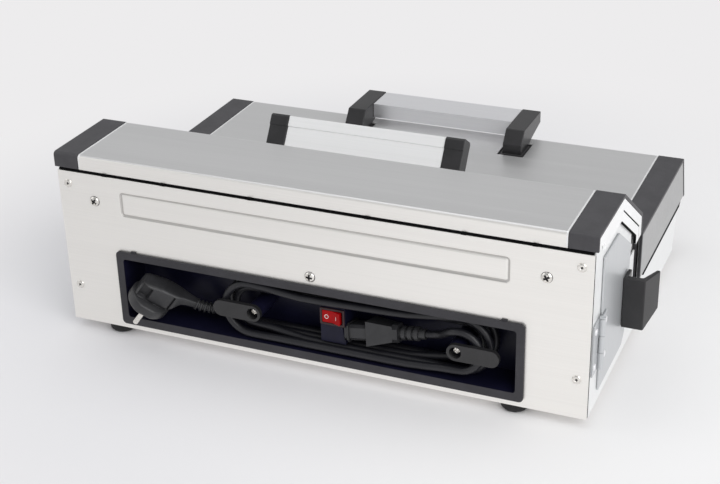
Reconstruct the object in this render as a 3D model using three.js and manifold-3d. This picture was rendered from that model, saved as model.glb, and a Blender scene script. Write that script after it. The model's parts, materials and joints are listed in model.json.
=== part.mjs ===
// Bench-top reflow oven: a tall rear housing under a hinged cover, a low chamber under a hinged lid,
// a cord bay in the rear wall and a small side door. Millimetres, +Z up, the operator stands at -Y.
// Depth is measured from the rear wall towards the operator, height from the lower edge of the walls.

import * as THREE from 'three';
import { mergeVertices } from 'three/addons/utils/BufferGeometryUtils.js';
import Module from 'manifold-3d';

const wasm = await Module();
wasm.setup();

// Walls and general fits
const body_width = 480;
const rear_height = 147.6;
const base_height = 45.8;
const base_front_setback = 16;
const base_front_slope = 13;
const sheet = 1.2;
const wall_sheet = 1.5;
const seat_gap = 0.3;
const overrun = 1;
const weld = 0.001;
const fine_gap = 0.25;

// Rear cover, a bent sheet between two black end caps
const cover_overhang = 2.5;
const cover_face_depth = 1;
const cover_seam = 2.6;
const cover_skirt = 13.3;
const cover_top_depth = 82.4;
const cover_nose_depth = 156;
const cover_fall = 49.5;
const cover_lip_step = 1;
const cover_lip = 19;
const cover_bend_radius = 3;
const cap_width = 24;
const cap_thickness = 3;
const cap_proud = 0.5;
const end_plate = 1.9;
const end_band = 20.5;
const end_slit = 1.3;
const end_slit_inset = 11.4;
const end_slit_start = 4;
const seal_thickness = 2;
const seal_reach = 6.5;
const seal_inset = 0.2;
const lug_width = 4.5;
const lug_reach = 1;
const lug_shares = [0.804, 0.5625, 0.2196];

// Front lid
const lid_rear_gap = 3;
const lid_top_height = 93.3;
const lid_front_slope = 17.4;
const lid_front_low_depth = 350;
const lid_seam = 2;
const lid_bend_radius = 3;
const trunnion_setback = 8;
const trunnion_drop = 8;
const trunnion_radius = 2;
const trunnion_clearance = 0.2;
const ear_radius = 4.7;
const lid_slot_margin = 3.5;
const slot_near_clearance = 6.5;
const slot_far_clearance = 2;
const liner_sheet = 1;
const liner_margin = 26;
const liner_near_margin = 26;
const liner_far_margin = 14.6;
const liner_drop = 13.3;
const liner_flange_inset = 3;
const rim_seal_margin = 5.3;
const rim_seal_front = 5;

// Lid handle: two black brackets and an aluminium bar
const handle_half = 93;
const bracket_width = 19;
const bracket_setback = 42.6;
const bracket_foot = 26;
const bracket_bevel = 10;
const bracket_bevel_rise = 8.2;
const bracket_rise = 20.9;
const bracket_length = 65;
const bracket_nose_thickness = 11.8;
const bracket_under_reach = 12;
const bracket_under_rise = 3.7;
const bar_wall = 2.4;
const bar_width = 34.4;
const bar_skirt = 15;
const bar_lip = 9.1;
const bar_inset = 0.6;

// Cover handle: two black ends and a folded aluminium fin, square to the sloping fascia
const fin_half = 92;
const fin_end_width = 17.5;
const fin_height = 33;
const fin_thickness = 16.6;
const fin_crease_height = 22.5;
const fin_crease_step = 1;
const fin_wall = 2.5;
const fin_lip = 7;
const fin_place_share = 0.4565;
const fin_bar_inset = 0.8;
const fin_corner = 2;

// Cord bay, one black moulding with a frame, a deep tub and a box for the switch and the inlet
const bay_width = 375;
const bay_low = 5.5;
const bay_high = 78;
const bay_border = 7;
const bay_border_height = 7.8;
const bay_corner = 4;
const bay_inner_corner = 2.5;
const bay_wall = 2;
const bay_depth = 32;
const bay_frame = 2;
const bay_catch_margin = 17.5;
const bay_catch_width = 5;
const bay_catch_height = 1.6;
const box_right_x = -28.5;
const box_left_x = -5.5;
const box_low = 22.6;
const box_high = 57.2;
const box_depth = 6;

// Cord hooks
const hook_left_x = -130;
const hook_right_x = 54;
const post_radius = 7.5;
const wing_length = 45;
const wing_height = 15;
const wing_thickness = 4;
const wing_proud = 5;
const hook_bore_radius = 5.2;
const hook_bore_depth = 7;
const hook_screw_radius = 3.9;
const hook_screw_head = 2.6;
const hook_shank_radius = 1.8;
const hook_shank_length = 8;
const cross_width = 1;
const cross_depth = 1.2;

// Rocker switch and inlet
const bezel_width = 22.6;
const bezel_height = 16;
const bezel_thickness = 1.5;
const bezel_rim = 2;
const switch_height = 48;
const switch_body_depth = 9;
const switch_wall = 1.2;
const rocker_rise = 3.4;
const rocker_thickness = 5.4;
const rocker_tilt = 0.16;
const rocker_end_gap = 0.6;
const connector_depth = 15;
const connector_height = 33;
const connector_tilt = 0.14;
const connector_roll = -0.24;
const nose_width = 20;
const nose_height = 13.5;
const nose_corner = 2.5;
const nose_reach = 2.9;
const nose_length = 17.6;
const collar_width = 23.4;
const collar_height = 16.8;
const collar_thickness = 1.6;
const flare_width = 23;
const flare_height = 21.5;
const flare_end_width = 16;
const flare_end_height = 13.5;
const flare_end = 40;
const neck_end = 44.5;
const neck_height = 15.5;
const relief_radius = 6.2;
const relief_core = 4.6;
const relief_rib = 3.4;
const relief_rib_gap = 2.4;
const relief_ribs = 3;
const relief_tip = 3.5;

// Mains lead: its route is a racetrack round both hooks, one layer further out with every turn
const cord_radius = 3.4;
const turn_pitch = 7.4;
const turn_back_depth = 25.2;
const turn_clearance = 1.05;
const turn_arc_shares = [1, 0.72, 1, 0.86];
const lead_run_share = 0.78;
const lead_top_share = 0.635;
const lead_join_share = 0.12;
const turn_left_offset = 1;
const turn_right_offset = 5;
const full_turns = 3;
const steps_per_arc = 8;
const steps_per_run = 6;
const run_bulge_share = 0.3;
const lead_ease_share = 0.5;
const cord_sides = 6;

// Mains plug, lying askew in the right end of the bay
const plug_x = 161.3;
const plug_depth = -0.5;
const plug_height = 30.2;
const plug_yaw = 0.4277;
const plug_pitch = 0.605;
const plug_roll = 0.243;
const plug_radius = 22.6;
const plug_disc = 10;
const plug_flat = 21.4;
const plug_half = 14;
const plug_back_reach = 15.5;
const plug_back_low = 22;
const plug_back_high = 31.5;
const plug_shoulder = 21;
const plug_shoulder_half = 10.5;
const plug_shoulder_height = 17;
const plug_neck_half = 6.2;
const plug_neck_reach = 40;
const plug_axis = 30.5;
const plug_lead_tilt = 0.21;
const plug_grip = 1.6;
const plug_recess = 6;
const plug_recess_near = 8.5;
const plug_recess_far = 18;
const plug_recess_low = 9.2;
const plug_recess_high = 26.5;
const plug_pad_gap = 3;
const plug_pad_rise = 2.6;
const plug_rib_radius = 5.4;
const plug_rib_core = 4.1;
const plug_rib = 1.8;
const plug_rib_gap = 1.6;
const plug_ribs = 5;
const pin_radius = 2.4;
const pin_length = 19;
const pin_spacing = 19;

// Rear wall
const emboss_margin = 64;
const emboss_height = 22.5;
const emboss_drop = 13.1;
const emboss_depth = 0.8;
const emboss_corner = 3;
const rivet_margin = 9.7;
const rivet_low = 36;
const rivet_drop = 11.6;
const rivet_radius = 3.3;
const rivet_proud = 1.1;
const rivet_hole = 1.3;
const wall_screw_margin = 37;
const wall_screw_drop = 25;
const wall_screw_rise = 7.6;
const wall_screw_radius = 4;
const wall_screw_head = 2.2;
const wall_screw_shank = 1.9;
const wall_screw_length = 9;

// Feet
const foot_radius = 12;
const foot_waist = 10.5;
const foot_height = 9;
const foot_margin = 55;
const foot_rear_depth = 14;
const foot_front_margin = 34;
const foot_stem_radius = 3;
const foot_stem = 5;

// Side door on the left wall, its hinge and its finger grip
const door_rear_depth = 27;
const door_low = 13;
const door_foot_setback = 18;
const door_chamfer_setback = 9;
const door_chamfer_height = 22;
const door_nose_margin = 34;
const door_front_drop = 51.6;
const door_band = 30;
const door_margin = 6;
const hinge_depth = 21.5;
const hinge_low = 37;
const hinge_high = 83;
const hinge_knuckle_radius = 2.6;
const hinge_pin_radius = 1.3;
const hinge_pin_clearance = 0.15;
const hinge_leaf = 1.2;
const hinge_leaf_rear_depth = 5;
const hinge_leaf_front_depth = 38;
const knuckle_gap = 0.3;
const grip_near_setback = 26.5;
const grip_far_setback = 3;
const grip_low = 35;
const grip_high = 82;
const grip_reach = 18.5;
const grip_flare = 7.5;
const grip_leg = 5.5;
const grip_flange = 3.2;
const grip_notch = 12;

// Vents in the right wall, and the fan behind them
const vent_length = 34;
const vent_height = 3;
const vent_pitch = 6;
const vent_count = 8;
const vent_depth = 74;
const fan_height = 62;
const fan_size = 56;
const fan_thickness = 14;
const fan_bore_radius = 25.5;
const fan_standoff = 3;
const fan_hub_radius = 8;
const fan_blade_gap = 1;
const fan_blade_thickness = 1.3;
const fan_blade_width = 8;
const fan_blades = 7;
const fan_spoke_width = 3;
const fan_spoke_thickness = 1.6;
const fan_spokes = 3;
const fan_seat_gap = 0.6;
const fan_axle_radius = 1.5;
const fan_axle_clearance = 0.15;

// Bulkhead, chamber pan, rack and heaters
const bulkhead_setback = 17;
const bulkhead_drop = 6;
const wall_notch_reach = 15.7;
const wall_notch_low = 86;
const wall_notch_high = 112;
const pan_margin = 18;
const pan_near_margin = 45;
const pan_far_margin = 3;
const pan_floor = 9;
const pan_sheet = 1;
const ledge_height = 30;
const ledge_width = 9;
const rack_rod = 2;
const rack_wire = 1.3;
const rack_wires = 17;
const rack_margin = 2;
const heater_radius = 3.2;
const heater_low_height = 20;
const heater_drop = 9;
const heater_margin = 44;
const heater_spread_share = 0.2537;
const clip_width = 6;
const clip_gap = 0.3;
const clip_place = 120;
const heater_steps = 6;

// Controller board in the rear housing, and the controls on the fascia
const board_left_x = -150;
const board_right_x = 60;
const board_near_depth = 46;
const board_far_margin = 10;
const board_height = 12;
const board_thickness = 1.6;
const standoff_radius = 3;
const sink_length = 90;
const sink_depth = 34;
const sink_height = 24;
const sink_base = 4;
const sink_fin = 1.6;
const sink_fins = 7;
const transformer_length = 44;
const transformer_depth = 38;
const transformer_height = 34;
const capacitor_radius = 9;
const capacitor_height = 26;
const panel_place_share = 0.4973;
const display_x = -155;
const display_length = 58;
const display_width = 22;
const display_thickness = 2.2;
const display_rim = 1.6;
const key_radius = 6;
const key_height = 6;
const key_flange = 1.2;
const key_flange_reach = 1.2;
const key_proud = 2.2;
const key_travel = 1.2;
const key_xs = [135, 162];
const controls_board = 1.6;
const controls_width = 26;
const controls_end_x = 182;
const controls_start_x = 116;
const stem_radius = 1.5;
const post_side = 3;

// Places that follow from the driving sizes above
const half_width = body_width / 2;
const cover_skirt_height = rear_height + cover_seam;
const cover_top_height = cover_skirt_height + cover_skirt;
const cover_nose_height = cover_top_height - cover_fall;
const cover_lip_height = cover_nose_height - cover_lip;
const cover_lip_depth = cover_nose_depth + cover_lip_step;
const lid_rear_depth = cover_lip_depth + lid_rear_gap;
const lid_front_top_depth = lid_front_low_depth - lid_front_slope;
const base_front_depth = lid_front_low_depth - base_front_setback;
const base_front_foot_depth = base_front_depth - base_front_slope;
const lid_skirt_height = base_height + lid_seam;
const trunnion_depth = lid_rear_depth + trunnion_setback;
const trunnion_height = lid_top_height - trunnion_drop;
const bracket_near_depth = lid_front_top_depth - bracket_setback;
const bracket_foot_far_depth = bracket_near_depth + bracket_foot;
const bracket_bevel_depth = bracket_near_depth + bracket_bevel;
const bracket_bevel_height = lid_top_height + bracket_bevel_rise;
const bracket_top_height = lid_top_height + bracket_rise;
const bracket_front_depth = bracket_near_depth + bracket_length;
const bracket_nose_height = bracket_top_height - bracket_nose_thickness;
const bracket_under_depth = bracket_foot_far_depth + bracket_under_reach;
const bracket_under_height = lid_top_height + bracket_under_rise;
const bar_near_depth = bracket_front_depth - bar_inset - bar_width;
const bar_skirt_height = bracket_top_height - bar_inset - bar_skirt;
const bar_lip_height = bracket_top_height - bar_inset - bar_lip;
const lid_slot_near_depth = bracket_near_depth - slot_near_clearance;
const lid_slot_far_depth = bracket_foot_far_depth + slot_far_clearance;
const liner_half = half_width - liner_margin;
const liner_near_depth = lid_rear_depth + liner_near_margin;
const liner_far_depth = lid_front_top_depth - liner_far_margin;
const liner_roof_height = lid_top_height - liner_drop;
const emboss_half = half_width - emboss_margin;
const emboss_high = rear_height - emboss_drop;
const emboss_low = emboss_high - emboss_height;
const rivet_x = half_width - rivet_margin;
const rivet_high = rear_height - rivet_drop;
const wall_screw_x = half_width - wall_screw_margin;
const wall_screw_high = rear_height - wall_screw_drop;
const wall_screw_mid = bay_high + wall_screw_rise;
const foot_x = half_width - foot_margin;
const foot_front_depth = base_front_depth - foot_front_margin;
const door_front_depth = cover_nose_depth - door_nose_margin;
const door_front_low_depth = door_front_depth - door_foot_setback;
const door_chamfer_depth = door_front_depth - door_chamfer_setback;
const door_front_height = rear_height - door_front_drop;
const grip_near_depth = door_front_depth - grip_near_setback;
const grip_far_depth = door_front_depth - grip_far_setback;
const bulkhead_depth = cover_nose_depth - bulkhead_setback;
const wall_front_depth = bulkhead_depth + sheet + wall_sheet;
const bulkhead_height = cover_top_height - bulkhead_drop
  - (bulkhead_depth + sheet - cover_top_depth) * cover_fall / (cover_nose_depth - cover_top_depth);
const pan_half = half_width - pan_margin;
const pan_near_depth = bulkhead_depth + pan_near_margin;
const pan_far_depth = base_front_foot_depth - pan_far_margin;
const heater_high_height = liner_roof_height - heater_drop;
const heater_half = half_width - heater_margin;
const board_far_depth = bulkhead_depth - board_far_margin;
const turn_left_x = hook_left_x - turn_left_offset;
const turn_right_x = hook_right_x + turn_right_offset;
const heater_mid_depth = (pan_near_depth + pan_far_depth) / 2;
const heater_spread = (pan_far_depth - pan_near_depth) * heater_spread_share;
const fin_place_depth = cover_top_depth + (cover_nose_depth - cover_top_depth) * fin_place_share;
const panel_place_depth = cover_top_depth + (cover_nose_depth - cover_top_depth) * panel_place_share;
const end_half = half_width + cover_overhang;
const cap_inner = end_half - cap_width;
const bay_half = bay_width / 2;
const bay_inner_half = bay_half - bay_border;
const bay_catch_place = bay_half - bay_catch_margin;
const bay_inner_low = bay_low + bay_border_height;
const bay_inner_high = bay_high - bay_border;
const hook_height = (bay_inner_low + bay_inner_high) / 2;
const turn_radius = (bay_inner_high - bay_inner_low) / 2 - cord_radius - turn_clearance;
const lead_top_radius = turn_radius * lead_top_share;
const lead_run_radius = turn_radius * lead_run_share;
const inner_half = half_width - wall_sheet;

const segments = { arc: 6, round: 16, wide: 24, fine: 32 };

const oven = new THREE.Group();

// Materials

function finish(color, roughness, metalness) {
  return new THREE.MeshStandardMaterial({ color, roughness, metalness });
}

const steel = finish(0xd9d7d2, 0.32, 0.9);
const grey_panel = finish(0xbfbfbf, 0.5, 0.4);
const aluminium = finish(0xd8dade, 0.35, 0.9);
const black_plastic = finish(0x3a393b, 0.5, 0);
const black_mat = finish(0x242426, 0.7, 0);
const rubber = finish(0x1f1f20, 0.9, 0);
const nickel = finish(0xc9c6c0, 0.25, 1);
const red_plastic = finish(0xc81414, 0.35, 0);
const cord_plastic = finish(0x47474b, 0.55, 0);
const glass_black = finish(0x101418, 0.1, 0);
const board_green = finish(0x1f5a3a, 0.6, 0);
const heater_metal = finish(0x6e6862, 0.6, 0.7);
const key_grey = finish(0x8c8f93, 0.5, 0);

// Solids from three.js geometry, and geometry back from solids

function solidOf(geometry) {
  const bare = geometry.clone();
  bare.deleteAttribute('normal');
  bare.deleteAttribute('uv');
  const merged = mergeVertices(bare, weld);
  const vertProperties = new Float32Array(merged.attributes.position.array);
  const triVerts = new Uint32Array(merged.index.array);
  return new wasm.Manifold(new wasm.Mesh({ numProp: 3, vertProperties, triVerts }));
}

function geometryOf(solid) {
  const mesh = solid.getMesh();
  const geometry = new THREE.BufferGeometry();
  geometry.setAttribute('position', new THREE.Float32BufferAttribute(mesh.vertProperties, mesh.numProp));
  geometry.setIndex(Array.from(mesh.triVerts));
  return geometry;
}

function add(name, solid, material, parent = oven) {
  const mesh = new THREE.Mesh(geometryOf(solid), material);
  mesh.name = name;
  parent.add(mesh);
  return mesh;
}

function joined(solids) {
  return solids.reduce((whole, solid) => whole.add(solid));
}

function cut(solid, tools) {
  return tools.reduce((whole, tool) => whole.subtract(tool), solid);
}

// A solid moved by a placement matrix
function placed(geometry, matrix) {
  const copy = geometry.clone();
  copy.applyMatrix4(matrix);
  return solidOf(copy);
}

// Axis frames: a flat shape in the first two directions, carried along the third
const along_x = new THREE.Matrix4().makeBasis(
  new THREE.Vector3(0, 1, 0), new THREE.Vector3(0, 0, 1), new THREE.Vector3(1, 0, 0));
const along_depth = new THREE.Matrix4().makeBasis(
  new THREE.Vector3(1, 0, 0), new THREE.Vector3(0, 0, 1), new THREE.Vector3(0, -1, 0));
const along_z = new THREE.Matrix4();

function extruded(shape, length, steps = segments.arc) {
  return new THREE.ExtrudeGeometry(shape, { depth: length, bevelEnabled: false, curveSegments: steps });
}

function shapeOf(points) {
  return new THREE.Shape(points.map(([a, b]) => new THREE.Vector2(a, b)));
}

// Section given as [depth, height], carried from one x to another
function prismX(points, x0, x1) {
  const low = Math.min(x0, x1);
  const shape = shapeOf(points.map(([depth, height]) => [-depth, height]));
  const matrix = new THREE.Matrix4().makeTranslation(low, 0, 0).multiply(along_x);
  return placed(extruded(shape, Math.abs(x1 - x0)), matrix);
}

// Shape given in x and height, carried from one depth to a greater one
function prismDepth(shape, depth0, depth1, steps) {
  const matrix = new THREE.Matrix4().makeTranslation(0, -depth0, 0).multiply(along_depth);
  return placed(extruded(shape, depth1 - depth0, steps), matrix);
}

// Outline given as [x, depth], carried up from one height to another
function prismZ(points, z0, z1) {
  const shape = shapeOf(points.map(([x, depth]) => [x, -depth]));
  const matrix = new THREE.Matrix4().makeTranslation(0, 0, z0).multiply(along_z);
  return placed(extruded(shape, z1 - z0), matrix);
}

function block(x0, x1, depth0, depth1, z0, z1) {
  const geometry = new THREE.BoxGeometry(Math.abs(x1 - x0), depth1 - depth0, z1 - z0);
  geometry.translate((x0 + x1) / 2, -(depth0 + depth1) / 2, (z0 + z1) / 2);
  return solidOf(geometry);
}

// Round bar between two points
function rod(from, to, radius, sides = segments.round) {
  const a = new THREE.Vector3(...from);
  const b = new THREE.Vector3(...to);
  const length = a.distanceTo(b);
  const geometry = new THREE.CylinderGeometry(radius, radius, length, sides);
  const turn = new THREE.Quaternion().setFromUnitVectors(
    new THREE.Vector3(0, 1, 0), b.clone().sub(a).normalize());
  const matrix = new THREE.Matrix4().compose(a.clone().add(b).divideScalar(2), turn, new THREE.Vector3(1, 1, 1));
  return placed(geometry, matrix);
}

// Turned piece: [radius, distance] profile, its axis from a point towards a direction
function turned(profile, from, direction, sides = segments.wide) {
  const geometry = new THREE.LatheGeometry(profile.map(([r, h]) => new THREE.Vector2(r, h)), sides);
  const turn = new THREE.Quaternion().setFromUnitVectors(
    new THREE.Vector3(0, 1, 0), new THREE.Vector3(...direction).normalize());
  const matrix = new THREE.Matrix4().compose(new THREE.Vector3(...from), turn, new THREE.Vector3(1, 1, 1));
  return placed(geometry, matrix);
}

// Rectangle with rounded corners, in the shape's own two directions
function roundedRect(a0, a1, b0, b1, radius) {
  const r = Math.min(radius, (a1 - a0) / 2, (b1 - b0) / 2);
  const shape = new THREE.Shape();
  shape.moveTo(a0 + r, b0);
  shape.lineTo(a1 - r, b0);
  shape.absarc(a1 - r, b0 + r, r, -Math.PI / 2, 0, false);
  shape.lineTo(a1, b1 - r);
  shape.absarc(a1 - r, b1 - r, r, 0, Math.PI / 2, false);
  shape.lineTo(a0 + r, b1);
  shape.absarc(a0 + r, b1 - r, r, Math.PI / 2, Math.PI, false);
  shape.lineTo(a0, b0 + r);
  shape.absarc(a0 + r, b0 + r, r, Math.PI, 3 * Math.PI / 2, false);
  return shape;
}

// Open outline moved to its inner side by a distance, with mitred corners
function offsetPath(points, distance) {
  const normals = [];
  for (let i = 0; i + 1 < points.length; i += 1) {
    const dx = points[i + 1][0] - points[i][0];
    const dz = points[i + 1][1] - points[i][1];
    const length = Math.hypot(dx, dz);
    normals.push([dz / length, -dx / length]);
  }
  return points.map(([depth, height], i) => {
    const before = normals[Math.max(i - 1, 0)];
    const after = normals[Math.min(i, normals.length - 1)];
    const mitre = distance / (1 + before[0] * after[0] + before[1] * after[1]);
    return [depth + (before[0] + after[0]) * mitre, height + (before[1] + after[1]) * mitre];
  });
}

// Open outline with its corners rounded by arcs
function filletPath(points, radius, steps = segments.arc) {
  const out = [points[0]];
  for (let i = 1; i + 1 < points.length; i += 1) {
    const corner = new THREE.Vector2(...points[i]);
    const back = new THREE.Vector2(...points[i - 1]).sub(corner).normalize();
    const ahead = new THREE.Vector2(...points[i + 1]).sub(corner).normalize();
    const half_angle = Math.acos(THREE.MathUtils.clamp(back.dot(ahead), -1, 1)) / 2;
    const reach = radius / Math.tan(half_angle);
    const middle = back.clone().add(ahead).normalize().multiplyScalar(radius / Math.sin(half_angle)).add(corner);
    const start = corner.clone().addScaledVector(back, reach).sub(middle);
    const end = corner.clone().addScaledVector(ahead, reach).sub(middle);
    const sweep = Math.atan2(start.x * end.y - start.y * end.x, start.dot(end));
    for (let k = 0; k <= steps; k += 1) {
      const point = start.clone().rotateAround(new THREE.Vector2(0, 0), sweep * k / steps).add(middle);
      out.push([point.x, point.y]);
    }
  }
  out.push(points[points.length - 1]);
  return out;
}

// Closed section between an outline and its copy further in
function bent(points, thickness, start = 0) {
  const inner = offsetPath(points, start + thickness).reverse();
  return [...offsetPath(points, start), ...inner];
}

function sideOf(name) {
  return name === 'left' ? -1 : 1;
}

const sides = ['left', 'right'];

// Cover and lid outlines, from the rear skirt over the top to the front
const cover_corners = [
  [cover_face_depth, cover_skirt_height],
  [cover_face_depth, cover_top_height],
  [cover_top_depth, cover_top_height],
  [cover_nose_depth, cover_nose_height],
  [cover_lip_depth, cover_lip_height],
];
const lid_corners = [
  [lid_rear_depth, lid_skirt_height],
  [lid_rear_depth, lid_top_height],
  [lid_front_top_depth, lid_top_height],
  [lid_front_low_depth, lid_skirt_height],
];

// Slope of the fascia: a point on it, the way down it and the way out of it
const fascia_fall = cover_top_height - cover_nose_height;
const fascia_run = cover_nose_depth - cover_top_depth;
const fascia_angle = Math.atan2(fascia_fall, fascia_run);

// Frame on the fascia: x across, y up the slope, z outwards; its origin at a depth on the outer face
function fasciaFrame(x, depth) {
  const height = cover_top_height - (depth - cover_top_depth) * fascia_fall / fascia_run;
  return new THREE.Matrix4().makeTranslation(x, -depth, height)
    .multiply(new THREE.Matrix4().makeRotationX(fascia_angle));
}

// Base: bottom and front wall bent from one sheet
function buildBase() {
  const low = seat_gap;
  const section = [
    [wall_sheet + seat_gap, low],
    [base_front_foot_depth, low],
    [base_front_depth, base_height],
    [base_front_depth - sheet, base_height],
    [base_front_foot_depth - sheet, low + sheet],
    [wall_sheet + seat_gap, low + sheet],
  ];
  const half = inner_half - seat_gap;
  const body = prismX(section, -half, half);
  const slots = [];
  for (let i = 0; i < vent_count; i += 1) {
    const x = (i - (vent_count - 1) / 2) * vent_pitch * 2 + board_left_x / 2 + board_right_x / 2;
    const shape = [
      [x - vent_height / 2, board_near_depth],
      [x + vent_height / 2, board_near_depth],
      [x + vent_height / 2, board_near_depth + vent_length],
      [x - vent_height / 2, board_near_depth + vent_length],
    ];
    slots.push(prismZ(shape, -overrun, low + sheet + overrun));
  }
  const stems = footPlaces().map(([x, depth]) => (
    rod([x, -depth, -overrun], [x, -depth, low + sheet + overrun], foot_stem_radius + fine_gap)));
  const posts = boardPosts().map(([x, depth]) => (
    rod([x, -depth, low + sheet / 2], [x, -depth, board_height - seat_gap], standoff_radius)));
  add('base_pan', cut(joined([body, ...posts]), [...slots, ...stems]), steel);
}

function footPlaces() {
  return [
    [-foot_x, foot_rear_depth],
    [foot_x, foot_rear_depth],
    [-foot_x, foot_front_depth],
    [foot_x, foot_front_depth],
  ];
}

function boardPosts() {
  const inset = standoff_radius * 2;
  return [
    [board_left_x + inset, board_near_depth + inset],
    [board_right_x - inset, board_near_depth + inset],
    [board_left_x + inset, board_far_depth - inset],
    [board_right_x - inset, board_far_depth - inset],
  ];
}

// Rubber feet with a stem through the base
function buildFeet() {
  const names = ['foot_rear_left', 'foot_rear_right', 'foot_front_left', 'foot_front_right'];
  footPlaces().forEach(([x, depth], i) => {
    const profile = [
      [0, -foot_height],
      [foot_waist, -foot_height],
      [foot_waist, -foot_height + sheet],
      [foot_radius, -foot_height + sheet * 2],
      [foot_radius, 0],
      [foot_stem_radius, 0],
      [foot_stem_radius, foot_stem],
      [0, foot_stem],
    ];
    add(names[i], turned(profile, [x, -depth, 0], [0, 0, 1]), rubber);
  });
}

// Side walls: the L-shaped profile of the whole oven, with an ear for each lid trunnion
function sideWall(side) {
  const under_cap = offsetPath(cover_corners, cap_thickness + seat_gap);
  const front_height = under_cap[2][1] - (wall_front_depth - under_cap[2][0]) * fascia_fall / fascia_run;
  const outline = [
    [wall_sheet + seat_gap, 0],
    [wall_sheet + seat_gap, rear_height],
    [cover_face_depth + cap_thickness + seat_gap, rear_height],
    ...under_cap.slice(1, 3),
    [wall_front_depth, front_height],
    [wall_front_depth, wall_notch_high],
    [wall_front_depth - wall_notch_reach, wall_notch_high],
    [wall_front_depth - wall_notch_reach, wall_notch_low],
    [wall_front_depth, wall_notch_low],
    [wall_front_depth, base_height],
    [base_front_depth, base_height],
    [base_front_foot_depth, 0],
  ];
  const x_inner = side * inner_half;
  const x_outer = side * half_width;
  const wall = prismX(outline, x_inner, x_outer);
  const neck = prismX([
    [trunnion_depth - ear_radius, base_height - overrun],
    [trunnion_depth + ear_radius, base_height - overrun],
    [trunnion_depth + ear_radius, trunnion_height],
    [trunnion_depth - ear_radius, trunnion_height],
  ], x_inner, x_outer);
  const ear = rod([x_inner, -trunnion_depth, trunnion_height], [x_outer, -trunnion_depth, trunnion_height],
    ear_radius, segments.wide);
  const hole = rod([x_inner - side * overrun, -trunnion_depth, trunnion_height],
    [x_outer + side * overrun, -trunnion_depth, trunnion_height],
    trunnion_radius + trunnion_clearance, segments.wide);
  return cut(joined([wall, neck, ear]), [hole]);
}

// Door outline: its top edge runs parallel to the cover at a fixed band
function doorOutline(inset) {
  const under = offsetPath(cover_corners, door_band);
  const corners = [
    [door_rear_depth, door_low],
    [door_rear_depth, under[2][1]],
    [under[2][0], under[2][1]],
    [door_front_depth, under[2][1] - (door_front_depth - under[2][0]) * fascia_fall / fascia_run],
    [door_front_depth - cover_bend_radius, door_front_height],
    [door_chamfer_depth, door_chamfer_height],
    [door_front_low_depth, door_low],
  ];
  const ring = [...corners, corners[0], corners[1]];
  const moved = offsetPath(ring, inset);
  return moved.slice(1, ring.length - 1);
}

function buildSideWalls() {
  const x0 = -half_width - overrun;
  const x1 = -inner_half + overrun;
  const opening = prismX(doorOutline(door_margin), x0, x1);
  add('side_panel_left', cut(sideWall(-1), [opening]), grey_panel);
  const vents = [];
  for (let i = 0; i < vent_count; i += 1) {
    const height = fan_height + (i - (vent_count - 1) / 2) * vent_pitch;
    const shape = roundedRect(-vent_depth - vent_length / 2, -vent_depth + vent_length / 2,
      height - vent_height / 2, height + vent_height / 2, vent_height / 2);
    const matrix = new THREE.Matrix4().makeTranslation(inner_half - overrun, 0, 0).multiply(along_x);
    vents.push(placed(extruded(shape, wall_sheet + overrun * 2), matrix));
  }
  add('side_panel_right', cut(sideWall(1), vents), grey_panel);
}

// Rear wall: window for the cord bay, a recessed field, four rivets and three screw holes
function buildRearWall() {
  const plate = prismDepth(shapeOf([
    [-half_width, 0], [half_width, 0], [half_width, rear_height], [-half_width, rear_height],
  ]), 0, wall_sheet);
  const reach = bay_wall + seat_gap;
  const window_shape = roundedRect(-bay_inner_half - reach, bay_inner_half + reach,
    bay_inner_low - reach, bay_inner_high + reach, bay_inner_corner + reach);
  const window_cut = prismDepth(window_shape, -overrun, wall_sheet + overrun);
  const field = roundedRect(-emboss_half, emboss_half, emboss_low, emboss_high, emboss_corner);
  const field_cut = prismDepth(field, -overrun, emboss_depth);
  const back = roundedRect(-emboss_half - emboss_depth, emboss_half + emboss_depth,
    emboss_low - emboss_depth, emboss_high + emboss_depth, emboss_corner + emboss_depth);
  const pad = prismDepth(back, wall_sheet - emboss_depth / 2, wall_sheet + emboss_depth);
  const rivet_profile = [
    [0, -wall_sheet / 2],
    [rivet_radius, -wall_sheet / 2],
    [rivet_radius, 0],
    [rivet_radius * Math.cos(Math.PI / 6), rivet_proud * Math.sin(Math.PI / 3)],
    [rivet_radius * Math.cos(Math.PI / 3), rivet_proud],
    [rivet_hole, rivet_proud],
    [rivet_hole, 0],
    [0, 0],
  ];
  const rivets = [];
  for (const x of [-rivet_x, rivet_x]) {
    for (const height of [rivet_low, rivet_high]) {
      rivets.push(turned(rivet_profile, [x, 0, height], [0, 1, 0], segments.round));
    }
  }
  const holes = wallScrewPlaces().map(([, x, height]) => (
    rod([x, overrun, height], [x, -wall_sheet - overrun, height], wall_screw_shank + fine_gap)));
  add('rear_panel', cut(joined([plate, pad]), [window_cut, field_cut, ...holes]).add(joined(rivets)), steel);
}

function wallScrewPlaces() {
  return [
    ['left', -wall_screw_x, wall_screw_high],
    ['middle', 0, wall_screw_mid],
    ['right', wall_screw_x, wall_screw_high],
  ];
}

// Pan-head screw with a cross recess, its head pointing along +Y
function crossScrew(x, depth, height, radius, head, shank, length) {
  const dome = [
    [0, -length],
    [shank, -length],
    [shank, 0],
    [radius, 0],
    [radius, head * 0.45],
    [radius * 0.82, head * 0.82],
    [radius * 0.5, head],
    [0, head],
  ];
  const body = turned(dome, [x, -depth, height], [0, 1, 0], segments.round);
  const arm = radius * 0.62;
  const top = -depth + head;
  const bars = [[arm, cross_width / 2], [cross_width / 2, arm]].map(([half_x, half_z]) => (
    block(x - half_x, x + half_x, -top - overrun, -top + cross_depth, height - half_z, height + half_z)));
  return cut(body, bars);
}

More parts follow.
